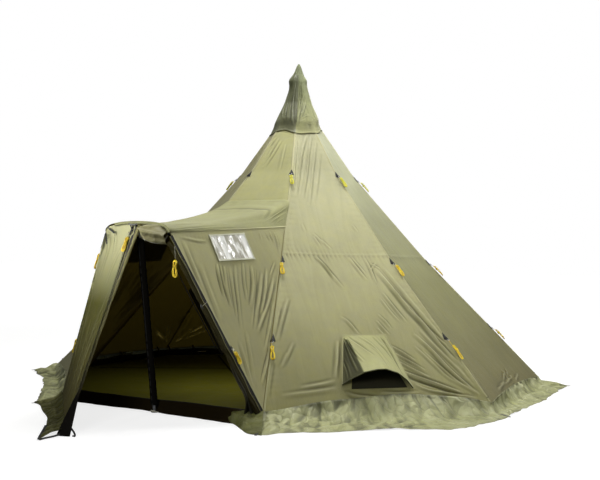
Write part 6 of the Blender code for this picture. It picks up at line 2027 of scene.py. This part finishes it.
# right shoulder: a grey tie from the rolled leaf, with the line's hank hanging from it
top = np.array([0.352, -2.985, 1.470])
SH_RING = np.array([0.428, -2.972, 1.352])
tie = spline([(0.392, -2.930, 1.452), (0.404, -2.952, 1.440), (0.418, -2.966, 1.410), (0.426, -2.971, 1.375), (0.428, -2.972, 1.350)], 24)
tieo = curve_object("tie_shoulder_right", tie, 0.0036, MAT["grey_cord"])
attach(tieo, ROOT)
hank("hank_porch_right_upper", SH_RING + np.array([0, 0, -0.004]), (0, 0, -1.0), (0.2, -1.0, 0), ["guyline_porch_right_upper"], ROOT, 260, "yellow",
     L=0.140, lead=0.010, lay=0.004)
# ties round the bunched leaf
t1 = spline([(0.050, -2.985, 1.555), (0.110, -3.028, 1.520), (0.200, -3.055, 1.492), (0.285, -3.050, 1.472), (0.330, -3.010, 1.492), (0.345, -2.975, 1.535)], 40)
to = curve_object("tie_bunch_a", t1, 0.0030, MAT["grey_cord"])
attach(to, ROOT)

# left leaf: black strap beside the zip, with ring and hank
S0 = door_pt(0.94, 0.008).reshape(3)
S1 = door_pt(0.91, 0.052).reshape(3)
nD = door_normal(np.array([0.85]), np.array([0.05])).reshape(3)
st = spline([S0 + nD * 0.010, S0 * 0.5 + S1 * 0.5 + nD * 0.014, S1 + nD * 0.014], 14)
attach(ribbon("leaf_strap", st, 0.016, np.broadcast_to(nD, st.shape), MAT["black"], thick=0.0016), "door_leaf")
sd, dn, ot = frame_of(S1 - S0 + np.array([0, 0, -0.05]), nD)
rg = ring_mesh("ring_leaf", S1 + dn * 0.006 + nD * 0.016, (sd, dn, ot), 0.0105)
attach(rg, "door_leaf")
hank("hank_porch_centre", S1 + dn * 0.014 + nD * 0.014, door_pt(0.84, 0.30).reshape(3) - door_pt(0.84, 0.085).reshape(3), nD,
     ["guyline_porch_centre"], "door_leaf", 270, "yellow", L=0.135, lead=0.008)

# ---------------------------------------------------------------- straps, toggles and peg loops
def strap(name, pts, width, normal, mat="black", body=ROOT, n=16, thick=0.0016):
    L = spline([np.asarray(q, float) for q in pts], n)
    ob = ribbon(name, L, width, np.broadcast_to(np.asarray(normal, float), L.shape), MAT[mat], thick=thick)
    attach(ob, body)
    return ob


FR = (-0.1, -1.0, 0.25)
strap("strap_shoulder_a", [(-0.300, -2.958, 1.612), (-0.265, -2.962, 1.588), (-0.225, -2.960, 1.562)], 0.014, FR, body="door_leaf")
strap("strap_shoulder_b", [(-0.322, -2.955, 1.565), (-0.312, -2.962, 1.515), (-0.302, -2.962, 1.466)], 0.012, FR, body="door_leaf")
strap("strap_shoulder_c", [(-0.336, -2.948, 1.556), (-0.365, -2.938, 1.490), (-0.396, -2.928, 1.428)], 0.010, (-0.6, -0.8, 0.1), body="door_leaf")
strap("web_top_centre", [(-0.075, -2.962, 1.640), (-0.030, -2.968, 1.632), (0.018, -2.962, 1.636)], 0.016, FR, "grey_web", "door_leaf")
strap("web_top_centre_b", [(-0.050, -2.965, 1.628), (-0.030, -2.974, 1.604), (-0.014, -2.978, 1.575)], 0.012, FR, "black", "door_leaf")
# toe: webbing from the leaf's foot to the peg, and the zip's end loop
strap("toe_strap", [(0.010, -3.728, 0.060), (0.022, -3.770, 0.030), (0.012, -3.850, 0.010), (0.000, -3.960, 0.008), (-0.002, -4.012, 0.006)], 0.022,
      (0.3, -0.2, 1.0), body="door_leaf", n=24)
strap("toe_loop", [(0.012, -3.722, 0.085), (0.060, -3.752, 0.060), (0.110, -3.768, 0.030), (0.128, -3.776, 0.006), (0.100, -3.772, 0.0035)], 0.014,
      (0.5, -0.8, 0.3), body="door_leaf", n=24)
# dark border on the toe tip of the leaf's skirt
E_ = DOOR_SKIRT[-1][-46:] + np.array([0, 0, 0.002])
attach(ribbon("toe_border", E_, 0.020, np.array([0, 0, 1.0]), MAT["black"], thick=0.0015), "door_leaf")
# toggle and tie on the right leg
tg = leg_pt(np.array([0.402]), 0.050, 0.0).reshape(3)
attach(tube_mesh("toggle", [tg + LEG_IN * 0.030 - unit(LEGV) * 0.022, tg + LEG_IN * 0.034 - unit(LEGV) * 0.011, tg + LEG_IN * 0.036,
                             tg + LEG_IN * 0.034 + unit(LEGV) * 0.011, tg + LEG_IN * 0.030 + unit(LEGV) * 0.022],
                  [0.003, 0.0062, 0.0072, 0.0062, 0.003], MAT["plastic"], 12), ROOT)
tie2 = spline([leg_pt(np.array([0.385]), -0.002, 0.012).reshape(3), leg_pt(np.array([0.390]), 0.020, 0.022).reshape(3),
               leg_pt(np.array([0.396]), 0.052, 0.020).reshape(3), leg_pt(np.array([0.400]), 0.076, 0.004).reshape(3), leg_pt(np.array([0.402]), 0.084, -0.004).reshape(3)], 22)
o2 = curve_object("tie_leg", tie2, 0.0034, MAT["grey_cord"])
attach(o2, ROOT)
# foot strap of the porch pole
strap("foot_strap", [(-0.040, -2.632, 0.004), (-0.020, -2.664, 0.016), (0.005, -2.672, 0.018), (0.030, -2.664, 0.014), (0.046, -2.634, 0.004)], 0.018,
      (0, -0.6, 1.0), "tag", ROOT, 18)
# peg loops at the skirt's corners
for i, az in enumerate((22.5, 67.5, 112.5, 157.5, 202.5, 247.5, 292.5, 337.5)):
    t = math.radians(az)
    rad, tan = np.array([math.sin(t), -math.cos(t), 0]), np.array([math.cos(t), math.sin(t), 0])
    R0 = float(outline_r(az)) - 0.05
    L = [rad * (R0 - 0.050) + tan * 0.008 + np.array([0, 0, 0.012]), rad * R0 + tan * 0.010 + np.array([0, 0, 0.010]),
         rad * (R0 + 0.055) + tan * 0.006 + np.array([0, 0, 0.006]), rad * (R0 + 0.075) + np.array([0, 0, 0.005]),
         rad * (R0 + 0.055) - tan * 0.006 + np.array([0, 0, 0.004]), rad * R0 - tan * 0.008 + np.array([0, 0, 0.008])]
    strap("peg_loop_%d" % (i + 1), L, 0.013, (0, 0, 1.0), "grey_web" if az in (112.5, 67.5) else "black", ROOT, 26)

# ---------------------------------------------------------------- finish of the CAD parts that stay in view
FINISH = {"apex_crown": "alloy_dark", "pole_foot": "plastic", "pole_lower": "alloy", "pole_middle": "alloy", "pole_upper": "alloy",
          "pole_spike": "steel", "pole_clamp_lower": "plastic", "pole_lever_lower": "plastic", "pole_clamp_upper": "plastic",
          "pole_lever_upper": "plastic", "porch_bow": "dark_rod", "porch_pole_foot": "plastic", "porch_pole_lower": "alloy",
          "porch_pole_upper": "alloy", "zip_slider": "steel"}
for node, finish in FINISH.items():
    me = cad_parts[node].data
    me.materials.clear()
    me.materials.append(MAT[finish])

# ---------------------------------------------------------------- camera and light
O = np.array([4.433, -8.575, 1.324]) + SHIFT
FWD = unit([-0.454, 0.890, 0.029])
UPV = np.array([-0.004, -0.034, 0.999])
RIGHT = unit(np.cross(FWD, UPV))
UPV = unit(np.cross(RIGHT, FWD))
cam = bpy.data.objects.new("camera", bpy.data.cameras.new("camera"))
scene.collection.objects.link(cam)
M = Matrix.Identity(4)
for i in range(3):
    M[i][0], M[i][1], M[i][2], M[i][3] = RIGHT[i], UPV[i], -FWD[i], O[i]
cam.matrix_world = M
cam.data.sensor_fit = "HORIZONTAL"
cam.data.sensor_width = 36.0
cam.data.lens = 49.67
cam.data.clip_end = 200
scene.camera = cam

world = bpy.data.worlds.new("studio")
scene.world = world
world.use_nodes = True
wt = world.node_tree
bg = wt.nodes["Background"]
bg.inputs["Color"].default_value = (0.94, 0.97, 1.0, 1)
bg.inputs["Strength"].default_value = 0.08
seen = wt.nodes.new("ShaderNodeBackground")       # white studio sweep behind the object
seen.inputs["Color"].default_value = (1, 1, 1, 1)
seen.inputs["Strength"].default_value = 1.0
path = wt.nodes.new("ShaderNodeLightPath")
both = wt.nodes.new("ShaderNodeMixShader")
wt.links.new(path.outputs["Is Camera Ray"], both.inputs[0])
wt.links.new(bg.outputs[0], both.inputs[1])
wt.links.new(seen.outputs[0], both.inputs[2])
wt.links.new(both.outputs[0], wt.nodes["World Output"].inputs["Surface"])


def floor_material():
    """Pale studio floor, evenly lit: the lamps' fall-off is made up for away from the object."""
    N = Nodes("studio_floor")
    tc = N.n("ShaderNodeTexCoord")
    ln = N.n("ShaderNodeVectorMath", operation="LENGTH")
    N.link(tc.outputs["Object"], ln.inputs[0])
    far = N.remap(ln.outputs["Value"], 3.5, 14.0, 0.0, 1.0, kind="SMOOTHSTEP")
    grain = N.noise(tc.outputs["Object"], 60.0, 3.0, 0.5)
    N.set(Base_Color=N.mix(N.remap(grain, 0.3, 0.7, 0.0, 0.04), (0.30, 0.30, 0.298), (0.28, 0.28, 0.275)), Roughness=0.75)
    N.set(Emission_Color=N.mix(far, (0.78, 0.78, 0.777), (0.99, 0.99, 0.99)))
    N.bsdf.inputs["Emission Strength"].default_value = 1.0
    N.bsdf.inputs["Specular IOR Level"].default_value = 0.05
    return N.m


def area_light(name, loc, target, size, power, colour=(1, 1, 1)):
    d = bpy.data.lights.new(name, "AREA")
    d.shape = "DISK"
    d.size = size
    d.energy = power
    d.color = colour
    o = bpy.data.objects.new(name, d)
    o.location = loc
    o.rotation_euler = (Vector(target) - Vector(loc)).to_track_quat("-Z", "Y").to_euler()
    o.visible_camera = False
    scene.collection.objects.link(o)
    return o


area_light("overhead", (0.0, 0.5, 7.5), (0, -0.5, 1.0), 3.0, 450, (1.0, 0.995, 0.97))
area_light("front", (2.0, -9.0, 3.5), (0, -1.0, 1.2), 3.0, 178)
area_light("right", (8.0, -3.0, 5.0), (0.5, -0.2, 1.2), 3.0, 130)
area_light("right_back", (6.0, 3.0, 6.0), (0.5, 0, 1.5), 3.0, 270)
leaf_light = area_light("porch_top", (-2.3, -5.0, 2.7), (-0.20, -2.50, 1.36), 0.8, 11)
leaf_light.data.spread = math.radians(42)
kicker = area_light("kicker", (3.4, -5.2, 3.2), (1.75, -0.15, 1.25), 0.9, 5.2)
kicker.data.spread = math.radians(40)
inner = area_light("through_cloth", (-0.2, -0.3, 1.75), (-0.3, -0.7, 0.0), 0.5, 4.6)
inner.data.spread = math.radians(115)
area_light("back", (-2.0, 7.5, 5.5), (0, 0.5, 1.5), 3.0, 260)
floor = make_mesh("floor", [(-150, -150, -0.001), (150, -150, -0.001), (150, 150, -0.001), (-150, 150, -0.001)], [(0, 1, 2, 3)], None,
                  None, smooth=False, shift=False)
floor.data.materials.append(floor_material())
floor.visible_diffuse = False
floor.visible_glossy = False
floor.visible_transmission = False

scene.view_settings.view_transform = "Standard"
scene.view_settings.look = "None"
scene.view_settings.exposure = 0.0
scene.cycles.use_denoising = True
scene.cycles.max_bounces = 6
